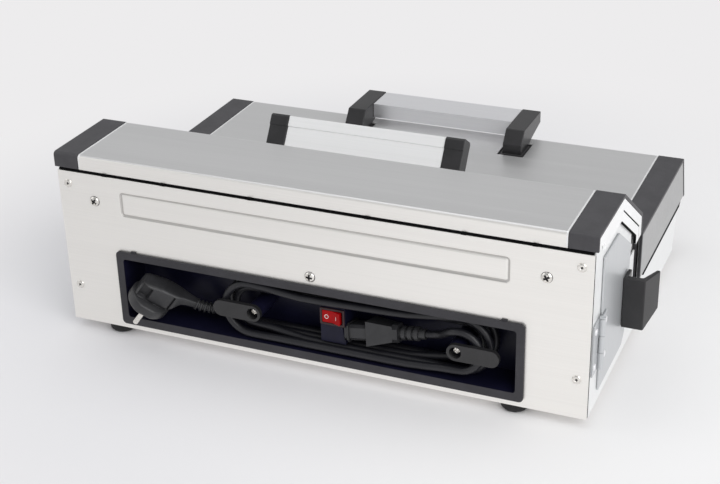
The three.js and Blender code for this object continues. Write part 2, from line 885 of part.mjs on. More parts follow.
function buildWallScrews() {
  for (const [place, x, height] of wallScrewPlaces()) {
    const screw = crossScrew(x, -seat_gap, height, wall_screw_radius, wall_screw_head,
      wall_screw_shank, wall_screw_length);
    add(`wall_screw_${place}`, screw, nickel);
  }
}

// Black strip in the seam above the rear wall, with the hinge lugs of the cover
function buildSeal() {
  const low = rear_height + seat_gap;
  const high = low + seal_thickness;
  const half = inner_half - seat_gap;
  const strip = prismX([
    [seal_inset, low], [cover_face_depth + cap_thickness, low],
    [cover_face_depth + cap_thickness, high], [seal_inset, high],
  ], -half, half);
  const shelf = prismX([
    [wall_sheet + seat_gap, low - seal_thickness],
    [seal_reach, low - seal_thickness],
    [seal_reach, high],
    [wall_sheet + seat_gap, high],
  ], -half, half);
  const lugs = [];
  for (const side of [-1, 1]) {
    for (const share of lug_shares) {
      const x = side * half_width * share;
      lugs.push(block(x - lug_width / 2, x + lug_width / 2, -lug_reach, seal_inset + overrun, low, high));
    }
  }
  add('cover_seal', joined([strip, shelf, ...lugs]), black_mat);
}

// Cover: the sheet with holes for the display and the keys, its black caps and grey ends
function buildCover() {
  const path = filletPath(cover_corners, cover_bend_radius);
  const sheet_half = cap_inner - seat_gap;
  const body = prismX(bent(path, sheet), -sheet_half, sheet_half);
  const reach = sheet + overrun;
  const display_hole = new THREE.BoxGeometry(display_length + seat_gap * 2, display_width + seat_gap * 2, reach * 2);
  const tools = [placed(display_hole, fasciaFrame(display_x, panel_place_depth))];
  for (const x of key_xs) {
    const hole = new THREE.CylinderGeometry(key_radius + fine_gap, key_radius + fine_gap, reach * 2, segments.wide);
    hole.rotateX(Math.PI / 2);
    tools.push(placed(hole, fasciaFrame(x, panel_place_depth)));
  }
  add('cover_sheet', cut(body, tools), steel);
  for (const name of sides) {
    const side = sideOf(name);
    add(`cover_cap_${name}`, prismX(bent(path, cap_thickness, -cap_proud), side * cap_inner, side * end_half),
      black_plastic);
    const start = cap_thickness - cap_proud + seat_gap;
    const x0 = side * (half_width + seat_gap);
    const x1 = side * (half_width + seat_gap + end_plate);
    const plate = prismX(bent(cover_corners, end_band - start, start), x0, x1);
    const slit_depth = cover_top_depth + end_slit_start;
    const slit_path = [
      [slit_depth, cover_top_height - end_slit_start * fascia_fall / fascia_run],
      ...cover_corners.slice(3),
    ];
    slit_path[2] = slit_path[2].map((value, i) => value + (value - slit_path[1][i]) * end_slit);
    const slit = prismX(bent(slit_path, end_slit, end_slit_inset), x0 - side * overrun, x1 + side * overrun);
    add(`cover_end_${name}`, cut(plate, [slit]), grey_panel);
  }
}

// Controls behind the fascia: a glass display on its board, and two keys on their stems
function buildControls() {
  const frame = fasciaFrame(display_x, panel_place_depth);
  const glass = new THREE.BoxGeometry(display_length, display_width, display_thickness);
  glass.translate(0, 0, display_thickness / 2 - sheet);
  const rim = new THREE.BoxGeometry(display_length + display_rim * 2, display_width + display_rim * 2, display_rim);
  rim.translate(0, 0, -sheet - seat_gap - display_rim / 2);
  const tie = new THREE.BoxGeometry(display_length - display_rim, display_width - display_rim, sheet);
  tie.translate(0, 0, -sheet);
  add('display_window', joined([glass, rim, tie].map((g) => placed(g, frame))), glass_black);

  const board_top = -sheet - key_height - seat_gap - key_travel;
  const middle = (controls_start_x + controls_end_x) / 2;
  const board_frame = fasciaFrame(middle, panel_place_depth);
  const length = controls_end_x - controls_start_x;
  const board = new THREE.BoxGeometry(length, controls_width, controls_board);
  board.translate(0, 0, board_top - controls_board / 2);
  const pieces = [board];
  for (const end of [-1, 1]) {
    const post_height = -sheet - seat_gap - board_top + controls_board / 2;
    const post = new THREE.BoxGeometry(post_side, controls_width, post_height);
    post.translate(end * (length - post_side) / 2, 0, board_top - controls_board / 2 + post_height / 2);
    pieces.push(post);
  }
  for (const x of key_xs) {
    const stem = new THREE.CylinderGeometry(stem_radius, stem_radius, controls_board + key_height / 2, segments.round);
    stem.rotateX(Math.PI / 2);
    stem.translate(x - middle, 0, board_top - controls_board / 2 + (controls_board + key_height / 2) / 2);
    pieces.push(stem);
  }
  add('controls_board', joined(pieces.map((g) => placed(g, board_frame))), board_green);

  key_xs.forEach((x, i) => {
    const bore = stem_radius + fine_gap;
    const low = -sheet - key_height;
    const profile = [
      [bore, low],
      [key_radius + key_flange_reach, low],
      [key_radius + key_flange_reach, -sheet - seat_gap - key_flange],
      [key_radius + key_flange_reach, -sheet - seat_gap],
      [key_radius, -sheet - seat_gap],
      [key_radius, key_proud - fine_gap],
      [key_radius - fine_gap * 2, key_proud],
      [0, key_proud],
      [0, key_proud - key_flange],
      [bore, key_proud - key_flange],
      [bore, low],
    ];
    const geometry = new THREE.LatheGeometry(profile.map(([r, h]) => new THREE.Vector2(r, h)), segments.wide);
    geometry.rotateX(Math.PI / 2);
    add(`fascia_key_${i + 1}`, placed(geometry, fasciaFrame(x, panel_place_depth)), key_grey);
  });
}

// Cover handle: a folded fin, open on its lower side, between two solid ends
function buildCoverHandle() {
  const half_thick = fin_thickness / 2;
  // Section as [down the slope, out of it]; the first edge faces up the slope
  const section_end = [
    [-half_thick, seat_gap],
    [-half_thick, fin_crease_height],
    [-half_thick - fin_crease_step, fin_crease_height],
    [-half_thick - fin_crease_step, fin_height - fin_corner],
    [-half_thick - fin_crease_step + fin_corner, fin_height],
    [half_thick - fin_corner, fin_height],
    [half_thick, fin_height - fin_corner],
    [half_thick, seat_gap],
  ];
  const lip = fin_height - fin_lip;
  const back = -half_thick + fin_bar_inset;
  const front = half_thick - fin_bar_inset;
  const section_bar = [
    [back, seat_gap + fin_bar_inset],
    [back, fin_crease_height],
    [back - fin_crease_step, fin_crease_height + fin_crease_step / 2],
    [back - fin_crease_step, fin_height - fin_bar_inset],
    [front, fin_height - fin_bar_inset],
    [front, lip],
    [front - fin_wall, lip],
    [front - fin_wall, fin_height - fin_bar_inset - fin_wall],
    [back + fin_wall, fin_height - fin_bar_inset - fin_wall],
    [back + fin_wall, seat_gap + fin_bar_inset],
  ];
  const across = (section, x0, x1) => {
    const shape = shapeOf(section.map(([down, out]) => [-down, out]));
    const matrix = fasciaFrame(x0, fin_place_depth).multiply(along_x);
    return placed(extruded(shape, x1 - x0), matrix);
  };
  const inner = fin_half - fin_end_width;
  add('cover_handle_end_left', across(section_end, -fin_half, -inner), black_plastic);
  add('cover_handle_end_right', across(section_end, inner, fin_half), black_plastic);
  add('cover_handle_bar', across(section_bar, -inner + seat_gap, inner - seat_gap), aluminium);
}

// Lid: sheet with two slots for the handle's feet, black caps, grey ends with trunnions, and a liner
function buildLid() {
  const path = filletPath(lid_corners, lid_bend_radius);
  const sheet_half = cap_inner - seat_gap;
  const body = prismX(bent(path, sheet), -sheet_half, sheet_half);
  const slots = [];
  for (const side of [-1, 1]) {
    const x0 = side * (handle_half + lid_slot_margin);
    const x1 = side * (handle_half - bracket_width - lid_slot_margin);
    slots.push(block(x0, x1, lid_slot_near_depth, lid_slot_far_depth,
      lid_top_height - sheet - overrun, lid_top_height + overrun));
  }
  add('lid_sheet', cut(body, slots), steel);
  const skirt_clear = half_width - wall_sheet - seat_gap * 2;
  for (const name of sides) {
    const side = sideOf(name);
    const cap = prismX(bent(path, cap_thickness, -cap_proud), side * cap_inner, side * end_half);
    const relief = block(side * skirt_clear, side * (half_width + seat_gap), lid_rear_depth - overrun,
      trunnion_depth + ear_radius, lid_skirt_height - overrun, lid_top_height - cap_thickness);
    add(`lid_cap_${name}`, cut(cap, [relief]), black_plastic);
    const start = cap_thickness - cap_proud + seat_gap;
    const inner = offsetPath(lid_corners, start);
    const x0 = side * (half_width + seat_gap);
    const x1 = side * (half_width + seat_gap + end_plate);
    const below = block(x0 - side * overrun, x1 + side * overrun, 0, lid_front_low_depth + overrun,
      0, lid_skirt_height);
    const plate = cut(prismX(inner, x0, x1), [below]);
    const pin = rod([side * (half_width + seat_gap + end_plate / 2), -trunnion_depth, trunnion_height],
      [side * (inner_half - seat_gap), -trunnion_depth, trunnion_height], trunnion_radius, segments.wide);
    add(`lid_end_${name}`, plate.add(pin), grey_panel);
  }
  const low = lid_skirt_height + liner_flange_inset;
  const clear = sheet + seat_gap;
  const far_top = lid_front_low_depth
    - (low + liner_sheet - lid_skirt_height) * (lid_front_low_depth - lid_front_top_depth)
    / (lid_top_height - lid_skirt_height) - clear * 2;
  const flange = block(-sheet_half, sheet_half, lid_rear_depth + clear, far_top, low, low + liner_sheet);
  const shell = block(-liner_half, liner_half, liner_near_depth, liner_far_depth, low, liner_roof_height);
  const hollow = block(-liner_half + liner_sheet, liner_half - liner_sheet, liner_near_depth + liner_sheet,
    liner_far_depth - liner_sheet, low - overrun, liner_roof_height - liner_sheet);
  const clips = clipPairs(heater_high_height, liner_roof_height - liner_sheet / 2, 1);
  add('lid_liner', joined([cut(joined([flange, shell]), [hollow]), ...clips]), steel);
}

// Black strip on the rim of the base, under the ends and the front of the lid
function buildRimSeal() {
  const outer = half_width + end_plate;
  const inner = inner_half + seat_gap;
  const start = trunnion_depth + ear_radius + rim_seal_margin;
  const outline = [
    [-outer, start],
    [-outer, base_front_depth],
    [outer, base_front_depth],
    [outer, start],
    [inner, start],
    [inner, base_front_depth - rim_seal_front],
    [-inner, base_front_depth - rim_seal_front],
    [-inner, start],
  ];
  add('rim_seal', prismZ(outline, base_height + seat_gap, lid_skirt_height - seat_gap), black_mat);
}

// Two hangers for a hairpin heater: posts from a wall, each with a hole for both legs
function clipPairs(height, root, toward) {
  const far = heater_mid_depth + heater_spread + heater_radius * 2;
  const near = heater_mid_depth - heater_spread - heater_radius * 2;
  const edge = height - toward * heater_radius * 2;
  const low = Math.min(root, edge);
  const high = Math.max(root, edge);
  return [-1, 1].map((side) => {
    const x = side * clip_place;
    const plate = block(x - clip_width / 2, x + clip_width / 2, near, far, low, high);
    const middle = block(x - clip_width, x + clip_width, near + heater_radius * 4, far - heater_radius * 4,
      low - overrun * toward * 4, high - overrun * toward * 4);
    const holes = [-1, 1].map((leg) => {
      const depth = heater_mid_depth + leg * heater_spread;
      return rod([x - clip_width, -depth, height], [x + clip_width, -depth, height], heater_radius + clip_gap);
    });
    return cut(plate, [middle, ...holes]);
  });
}

// Hairpin heater: two legs along x joined by a half ring
function hairpin(height) {
  const near = heater_mid_depth - heater_spread;
  const far = heater_mid_depth + heater_spread;
  const bend = heater_half - heater_spread;
  const points = [];
  points.push(new THREE.Vector3(-heater_half, -near, height));
  points.push(new THREE.Vector3(bend, -near, height));
  for (let i = 1; i < heater_steps * 2; i += 1) {
    const angle = Math.PI * i / (heater_steps * 2);
    points.push(new THREE.Vector3(bend + heater_spread * Math.sin(angle),
      -heater_mid_depth + heater_spread * Math.cos(angle), height));
  }
  points.push(new THREE.Vector3(bend, -far, height));
  points.push(new THREE.Vector3(-heater_half, -far, height));
  return tube(points, heater_radius, segments.round / 2);
}

// Tube through given points: one ring square to the route at each, closed by a fan at both ends
function tube(points, radius, sides_around) {
  const count = points.length;
  const positions = [];
  const index = [];
  const directions = points.map((point, i) => {
    const before = points[Math.max(i - 1, 0)];
    const after = points[Math.min(i + 1, count - 1)];
    return after.clone().sub(before).normalize();
  });
  let up = new THREE.Vector3(0, 1, 0);
  if (Math.abs(directions[0].dot(up)) > 0.9) {
    up = new THREE.Vector3(0, 0, 1);
  }
  for (let i = 0; i < count; i += 1) {
    const across = new THREE.Vector3().crossVectors(up, directions[i]).normalize();
    up = new THREE.Vector3().crossVectors(directions[i], across).normalize();
    const before = points[i].clone().sub(points[Math.max(i - 1, 0)]);
    const after = points[Math.min(i + 1, count - 1)].clone().sub(points[i]);
    const turn = before.lengthSq() * after.lengthSq() > 0 ? before.angleTo(after) : 0;
    const bend = before.clone().normalize().sub(after.clone().normalize());
    const stretch = 1 / Math.cos(turn / 2) - 1;
    for (let k = 0; k < sides_around; k += 1) {
      const angle = 2 * Math.PI * k / sides_around;
      const spoke = across.clone().multiplyScalar(Math.cos(angle)).addScaledVector(up, Math.sin(angle));
      if (turn > 0) {
        const outward = bend.clone().normalize();
        spoke.addScaledVector(outward, spoke.dot(outward) * stretch);
      }
      positions.push(...points[i].clone().addScaledVector(spoke, radius).toArray());
    }
  }
  for (let i = 0; i + 1 < count; i += 1) {
    for (let k = 0; k < sides_around; k += 1) {
      const next = (k + 1) % sides_around;
      const a = i * sides_around + k;
      const b = i * sides_around + next;
      const c = a + sides_around;
      const d = b + sides_around;
      index.push(a, b, d, a, d, c);
    }
  }
  for (let k = 1; k + 1 < sides_around; k += 1) {
    const last = (count - 1) * sides_around;
    index.push(0, k + 1, k);
    index.push(last, last + k, last + k + 1);
  }
  const geometry = new THREE.BufferGeometry();
  geometry.setAttribute('position', new THREE.Float32BufferAttribute(positions, 3));
  geometry.setIndex(index);
  return solidOf(geometry);
}

// Lid handle: brackets whose feet drop through the slots, and a bar open underneath
function buildLidHandle() {
  const foot_low = lid_top_height - sheet - seat_gap * 2;
  const bracket = [
    [bracket_near_depth, foot_low],
    [bracket_near_depth, bracket_bevel_height],
    [bracket_bevel_depth, bracket_top_height],
    [bracket_front_depth, bracket_top_height],
    [bracket_front_depth, bracket_nose_height],
    [bracket_under_depth, bracket_under_height],
    [bracket_foot_far_depth, lid_top_height + seat_gap],
    [bracket_foot_far_depth, foot_low],
  ];
  const flange_top = lid_top_height - sheet - seat_gap;
  const flange = [
    [lid_slot_near_depth - lid_slot_margin, foot_low - sheet],
    [lid_slot_near_depth - lid_slot_margin, flange_top],
    [lid_slot_far_depth + lid_slot_margin, flange_top],
    [lid_slot_far_depth + lid_slot_margin, foot_low - sheet],
  ];
  const inner = handle_half - bracket_width;
  for (const name of sides) {
    const side = sideOf(name);
    const arm = prismX(bracket, side * inner, side * handle_half);
    const plate = prismX(flange, side * (inner - lid_slot_margin * 2), side * (handle_half + lid_slot_margin * 2));
    add(`lid_handle_end_${name}`, arm.add(plate), black_plastic);
  }
  const top = bracket_top_height - bar_inset;
  const front = bracket_front_depth - bar_inset;
  const section = [
    [bar_near_depth, bar_skirt_height],
    [bar_near_depth, top],
    [front, top],
    [front, bar_lip_height],
    [front - bar_wall, bar_lip_height],
    [front - bar_wall, top - bar_wall],
    [bar_near_depth + bar_wall, top - bar_wall],
    [bar_near_depth + bar_wall, bar_skirt_height],
  ];
  add('lid_handle_bar', prismX(section, -inner + seat_gap, inner - seat_gap), aluminium);
}

// Placement of the connector: x towards the far end of the plug-in axis, y across, z up, at its mouth
function connectorFrame() {
  const turn = new THREE.Matrix4().makeRotationY(Math.PI + connector_tilt)
    .multiply(new THREE.Matrix4().makeRotationX(connector_roll));
  return new THREE.Matrix4().makeTranslation(box_right_x - collar_thickness - seat_gap * 2,
    -connector_depth, connector_height).multiply(turn);
}

// Bar along local x between two distances, of a rectangle with cut corners
function taperBar(matrix, a0, a1, width, height, corner) {
  const w = width / 2;
  const h = height / 2;
  const shape = shapeOf([
    [-w + corner, -h], [w - corner, -h], [w, -h + corner], [w, h - corner],
    [w - corner, h], [-w + corner, h], [-w, h - corner], [-w, -h + corner],
  ]);
  const carry = new THREE.Matrix4().makeTranslation(a0, 0, 0).multiply(along_x);
  return placed(extruded(shape, a1 - a0), matrix.clone().multiply(carry));
}

// Outline in local x and one cross direction, carried across the other
function crossBar(matrix, points, half, upright) {
  const shape = shapeOf(points);
  const carry = upright
    ? new THREE.Matrix4().makeTranslation(0, half, 0).multiply(along_depth)
    : new THREE.Matrix4().makeTranslation(0, 0, -half);
  return placed(extruded(shape, half * 2), matrix.clone().multiply(carry));
}

// Cord bay with its hooks' seats, the box for the switch and the inlet, and catches on its frame
function buildCordBay() {
  const frame = prismDepth(roundedRect(-bay_half, bay_half, bay_low, bay_high, bay_corner),
    -bay_frame - seat_gap, -seat_gap);
  const tub = prismDepth(roundedRect(-bay_inner_half - bay_wall, bay_inner_half + bay_wall,
    bay_inner_low - bay_wall, bay_inner_high + bay_wall, bay_inner_corner + bay_wall),
    -bay_frame / 2 - seat_gap, bay_depth + bay_wall);
  const hollow = prismDepth(roundedRect(-bay_inner_half, bay_inner_half, bay_inner_low, bay_inner_high,
    bay_inner_corner), -bay_frame - seat_gap - overrun, bay_depth);
  const box = block(box_right_x, box_left_x, box_depth, bay_depth + bay_wall / 2, box_low, box_high);
  const matrix = connectorFrame();
  const pocket_gap = seat_gap * 2;
  const pocket = taperBar(matrix, -nose_reach - pocket_gap * 2, collar_thickness * 2, nose_width + pocket_gap * 2,
    nose_height + pocket_gap * 2, nose_corner);
  const x = (box_right_x + box_left_x) / 2;
  const body_half = bezel_width / 2 - bezel_rim / 2;
  const body_high = bezel_height / 2 - bezel_rim / 2;
  const switch_cut = block(x - body_half - seat_gap, x + body_half + seat_gap, box_depth - overrun,
    box_depth + switch_body_depth + seat_gap, switch_height - body_high - seat_gap,
    switch_height + body_high + seat_gap);
  const holes = [hook_left_x, hook_right_x].map((hook_x) => (
    rod([hook_x, -bay_depth + overrun, hook_height], [hook_x, -bay_depth - bay_wall - overrun, hook_height],
      hook_shank_radius + fine_gap)));
  const catches = [-1, 1].map((side) => (
    block(side * bay_catch_place - bay_catch_width / 2, side * bay_catch_place + bay_catch_width / 2,
      -bay_frame / 2 - seat_gap, -seat_gap, bay_high - overrun, bay_high + bay_catch_height)));
  const body = cut(joined([frame, tub]), [hollow]);
  add('cord_bay', cut(joined([body, box, ...catches]), [pocket, switch_cut, ...holes]), black_mat);
}

// Hooks: a post on the floor of the bay and a wing that holds the turns down, with a sunk screw
function buildHooks() {
  for (const name of sides) {
    const side = sideOf(name);
    const x = name === 'left' ? hook_left_x : hook_right_x;
    const face = -wing_proud;
    const post = rod([x, -bay_depth + seat_gap, hook_height], [x, -face, hook_height], post_radius, segments.wide);
    const inner = x - side * wing_height / 2;
    const outer = inner + side * wing_length;
    const wing = prismDepth(roundedRect(Math.min(inner, outer), Math.max(inner, outer),
      hook_height - wing_height / 2, hook_height + wing_height / 2, wing_height / 2),
      face, face + wing_thickness, segments.arc * 2);
    const bore = rod([x, -face + overrun, hook_height], [x, -face - hook_bore_depth, hook_height],
      hook_bore_radius, segments.wide);
    const shank = rod([x, -face, hook_height], [x, -bay_depth - overrun, hook_height], hook_shank_radius + fine_gap);
    add(`cord_hook_${name}`, cut(joined([post, wing]), [bore, shank]), black_plastic);
    const seat = face + hook_bore_depth - seat_gap;
    const length = bay_depth - seat + hook_shank_length;
    add(`hook_screw_${name}`, crossScrew(x, seat, hook_height, hook_screw_radius, hook_screw_head,
      hook_shank_radius, length), nickel);
  }
}

// Switch: a bezel with a hollow body, and the rocker that turns about an upright axis
function buildSwitch() {
  const x = (box_right_x + box_left_x) / 2;
  const half = bezel_width / 2;
  const high = bezel_height / 2;
  const face = box_depth - seat_gap;
  const bezel = prismDepth(roundedRect(x - half, x + half, switch_height - high, switch_height + high, bezel_rim / 2),
    face - bezel_thickness, face);
  const body_half = half - bezel_rim / 2;
  const body_high = high - bezel_rim / 2;
  const body = block(x - body_half, x + body_half, face - bezel_thickness / 2, face + switch_body_depth,
    switch_height - body_high, switch_height + body_high);
  const inner_x = half - bezel_rim;
  const inner_z = high - bezel_rim;
  const hollow = block(x - inner_x, x + inner_x, face - bezel_thickness - overrun,
    face + switch_body_depth - switch_wall, switch_height - inner_z, switch_height + inner_z);
  add('switch_body', cut(joined([bezel, body]), [hollow]), black_plastic);

  const reach = inner_x - rocker_end_gap;
  const pivot_depth = rockerPivotDepth();
  const crown = rocker_rise;
  const section = [
    [-reach, crown],
    [0, crown * 0.55],
    [reach, crown],
    [reach * 0.9, crown - rocker_thickness],
    [0, crown - rocker_thickness - rocker_end_gap],
    [-reach * 0.9, crown - rocker_thickness],
  ];
  const shape = shapeOf(section);
  const tall = (inner_z - seat_gap) * 2;
  const geometry = extruded(shape, tall);
  geometry.translate(0, 0, -tall / 2);
  geometry.rotateZ(-rocker_tilt);
  const matrix = new THREE.Matrix4().makeTranslation(x, -pivot_depth, switch_height);
  add('rocker', placed(geometry, matrix), red_plastic);
}

function rockerPivotDepth() {
  return box_depth - seat_gap - bezel_thickness + rocker_rise * 0.55;
}

// Inlet collar on the box, and the moulded connector plugged into it
function buildConnector() {
  const matrix = connectorFrame();
  const back = -seat_gap;
  const collar = taperBar(matrix, back + seat_gap, back + seat_gap + collar_thickness, collar_width, collar_height,
    nose_corner);
  const hole = taperBar(matrix, -overrun * 2, collar_thickness + overrun * 2, nose_width + seat_gap * 2,
    nose_height + seat_gap * 2, nose_corner);
  add('inlet_collar', cut(collar, [hole]), black_plastic);

  const nose = taperBar(matrix, -nose_reach, nose_length + overrun, nose_width, nose_height, nose_corner);
  const side_view = [
    [nose_length, -flare_height / 2],
    [flare_end, -flare_end_height / 2],
    [flare_end, flare_end_height / 2],
    [nose_length, flare_height / 2],
  ];
  const top_view = [
    [nose_length, -flare_width / 2],
    [flare_end, -flare_end_width / 2],
    [flare_end, flare_end_width / 2],
    [nose_length, flare_width / 2],
  ];
  const flare = crossBar(matrix, side_view, flare_width, true).intersect(
    crossBar(matrix, top_view, flare_height, false));
  const neck = taperBar(matrix, flare_end - overrun, neck_end, flare_end_width, neck_height, nose_corner * 1.4);
  const pitch = relief_rib + relief_rib_gap;
  const profile = [[0, neck_end - overrun], [relief_core, neck_end - overrun]];
  for (let i = 0; i < relief_ribs; i += 1) {
    const start = neck_end + relief_rib_gap + i * pitch;
    profile.push([relief_core, start]);
    profile.push([relief_radius, start]);
    profile.push([relief_radius, start + relief_rib]);
    profile.push([relief_core, start + relief_rib]);
  }
  profile.push([relief_core, reliefEnd()]);
  profile.push([0, reliefEnd()]);
  const lathe = new THREE.LatheGeometry(profile.map(([r, h]) => new THREE.Vector2(r, h)), segments.wide);
  lathe.rotateZ(-Math.PI / 2);
  const relief = placed(lathe, matrix);
  add('lead_connector', joined([nose, flare, neck, relief]), cord_plastic);
}

function reliefEnd() {
  return neck_end + relief_rib_gap + relief_ribs * (relief_rib + relief_rib_gap) + relief_tip;
}

// Plug: x along its lead, z out of its face, at the middle of the face
function plugFrame() {
  return new THREE.Matrix4().makeTranslation(plug_x, -plug_depth, plug_height)
    .multiply(new THREE.Matrix4().makeRotationZ(Math.PI + plug_yaw))
    .multiply(new THREE.Matrix4().makeRotationY(plug_pitch))
    .multiply(new THREE.Matrix4().makeRotationX(Math.PI + plug_roll));
}

// Frame of the plug's strain relief: x along the lead, tipped away from the plug's face
function plugReliefFrame() {
  return plugFrame()
    .multiply(new THREE.Matrix4().makeTranslation(plug_neck_reach, 0, -plug_axis))
    .multiply(new THREE.Matrix4().makeRotationY(plug_lead_tilt));
}

function plugReliefLength() {
  return plug_rib_gap * 2 + plug_ribs * (plug_rib + plug_rib_gap);
}

// Solid under a plan and a side view, both given in the plug's own frame
function plugBlock(matrix, plan_points, side_points) {
  const plan = extruded(shapeOf(plan_points), plug_radius * 3);
  plan.translate(0, 0, -plug_radius * 3);
  return placed(plan, matrix).intersect(crossBar(matrix, side_points, plug_radius, true));
}

function plugBox(matrix, x0, x1, y0, y1, z0, z1) {
  const geometry = new THREE.BoxGeometry(x1 - x0, y1 - y0, z1 - z0);
  geometry.translate((x0 + x1) / 2, (y0 + y1) / 2, (z0 + z1) / 2);
  return placed(geometry, matrix);
}

function buildPlug() {
  const matrix = plugFrame();
  const disc_outline = [
    [0, 0],
    [plug_radius - plug_grip, 0],
    [plug_radius, -plug_grip],
    [plug_radius, -plug_disc + plug_grip],
    [plug_radius - plug_grip, -plug_disc],
    [0, -plug_disc],
  ];
  const disc = new THREE.LatheGeometry(disc_outline.map(([r, h]) => new THREE.Vector2(r, h)).reverse(), segments.wide);
  disc.rotateX(Math.PI / 2);
  const flats = plugBox(matrix, -plug_radius * 2, plug_radius * 2, -plug_flat, plug_flat, -plug_disc * 2, plug_disc);
  const face = placed(disc, matrix).intersect(flats);
  const plan = [
    [-plug_back_reach, -plug_half + plug_grip * 2],
    [-plug_back_reach + plug_grip * 2, -plug_half],
    [plug_shoulder, -plug_half],
    [plug_shoulder + plug_grip, -plug_half + plug_grip * 2],
    [plug_shoulder + plug_grip, plug_half - plug_grip * 2],
    [plug_shoulder, plug_half],
    [-plug_back_reach + plug_grip * 2, plug_half],
    [-plug_back_reach, plug_half - plug_grip * 2],
  ];
  const side_view = [
    [-plug_back_reach, -plug_disc + overrun],
    [plug_shoulder + plug_grip, -plug_disc + overrun],
    [plug_shoulder + plug_grip, -plug_back_high],
    [-plug_back_reach + plug_grip * 2, -plug_back_low],
    [-plug_back_reach, -plug_back_low + plug_grip * 2],
  ];
  const neck_plan = [
    [plug_shoulder, -plug_shoulder_half],
    [plug_neck_reach, -plug_neck_half],
    [plug_neck_reach, plug_neck_half],
    [plug_shoulder, plug_shoulder_half],
  ];
  const neck_side = [
    [plug_shoulder, -plug_shoulder_height],
    [plug_neck_reach, -plug_axis + plug_neck_half],
    [plug_neck_reach, -plug_axis - plug_neck_half],
    [plug_shoulder, -plug_back_high + plug_grip / 2],
  ];
  const hump = plugBlock(matrix, plan, side_view);
  const neck = plugBlock(matrix, neck_plan, neck_side);
  const recesses = [];
  const pads = [];
  for (const side of [-1, 1]) {
    const low = side * (plug_half - plug_recess);
    const high = side * (plug_half + overrun);
    const pad = side * (plug_half - plug_recess + plug_pad_rise);
    const root = low - side * overrun;
    recesses.push(plugBox(matrix, -plug_recess_near, plug_recess_far, Math.min(low, high), Math.max(low, high),
      -plug_recess_high, -plug_recess_low));
    pads.push(plugBox(matrix, -plug_recess_near + plug_pad_gap, plug_recess_far - plug_pad_gap / 2,
      Math.min(root, pad), Math.max(root, pad), -plug_recess_high + plug_pad_gap / 2,
      -plug_recess_low - plug_pad_gap));
  }
  const profile = [[0, -overrun], [plug_rib_core, -overrun]];
  for (let i = 0; i < plug_ribs; i += 1) {
    const start = plug_rib_gap + i * (plug_rib + plug_rib_gap);
    profile.push([plug_rib_core, start]);
    profile.push([plug_rib_radius, start]);
    profile.push([plug_rib_radius, start + plug_rib]);
    profile.push([plug_rib_core, start + plug_rib]);
  }
  profile.push([plug_rib_core, plugReliefLength()]);
  profile.push([0, plugReliefLength()]);
  const lathe = new THREE.LatheGeometry(profile.map(([r, h]) => new THREE.Vector2(r, h)), segments.round);
  lathe.rotateZ(-Math.PI / 2);
  const sockets = [-1, 1].map((side) => {
    const bore = new THREE.CylinderGeometry(pin_radius + fine_gap, pin_radius + fine_gap, plug_disc, segments.round);
    bore.rotateX(Math.PI / 2);
    bore.translate(0, side * pin_spacing / 2, 0);
    return placed(bore, matrix);
  });
  const relief = placed(lathe, plugReliefFrame());
  const body = joined([cut(joined([face, hump, neck]), recesses), ...pads, relief]);
  add('mains_plug', cut(body, sockets), cord_plastic);
  for (const name of sides) {
    const side = sideOf(name);
    const root = plug_disc / 2 - seat_gap;
    const pin = new THREE.CylinderGeometry(pin_radius, pin_radius, pin_length + root, segments.round);
    pin.rotateX(Math.PI / 2);
    pin.translate(0, side * pin_spacing / 2, (pin_length - root) / 2);
    add(`plug_pin_${name}`, placed(pin, matrix), nickel);
  }
}

// Route of the lead from the plug, round both hooks and into the connector
function smooth(t) {
  return t * t * (3 - 2 * t);
}

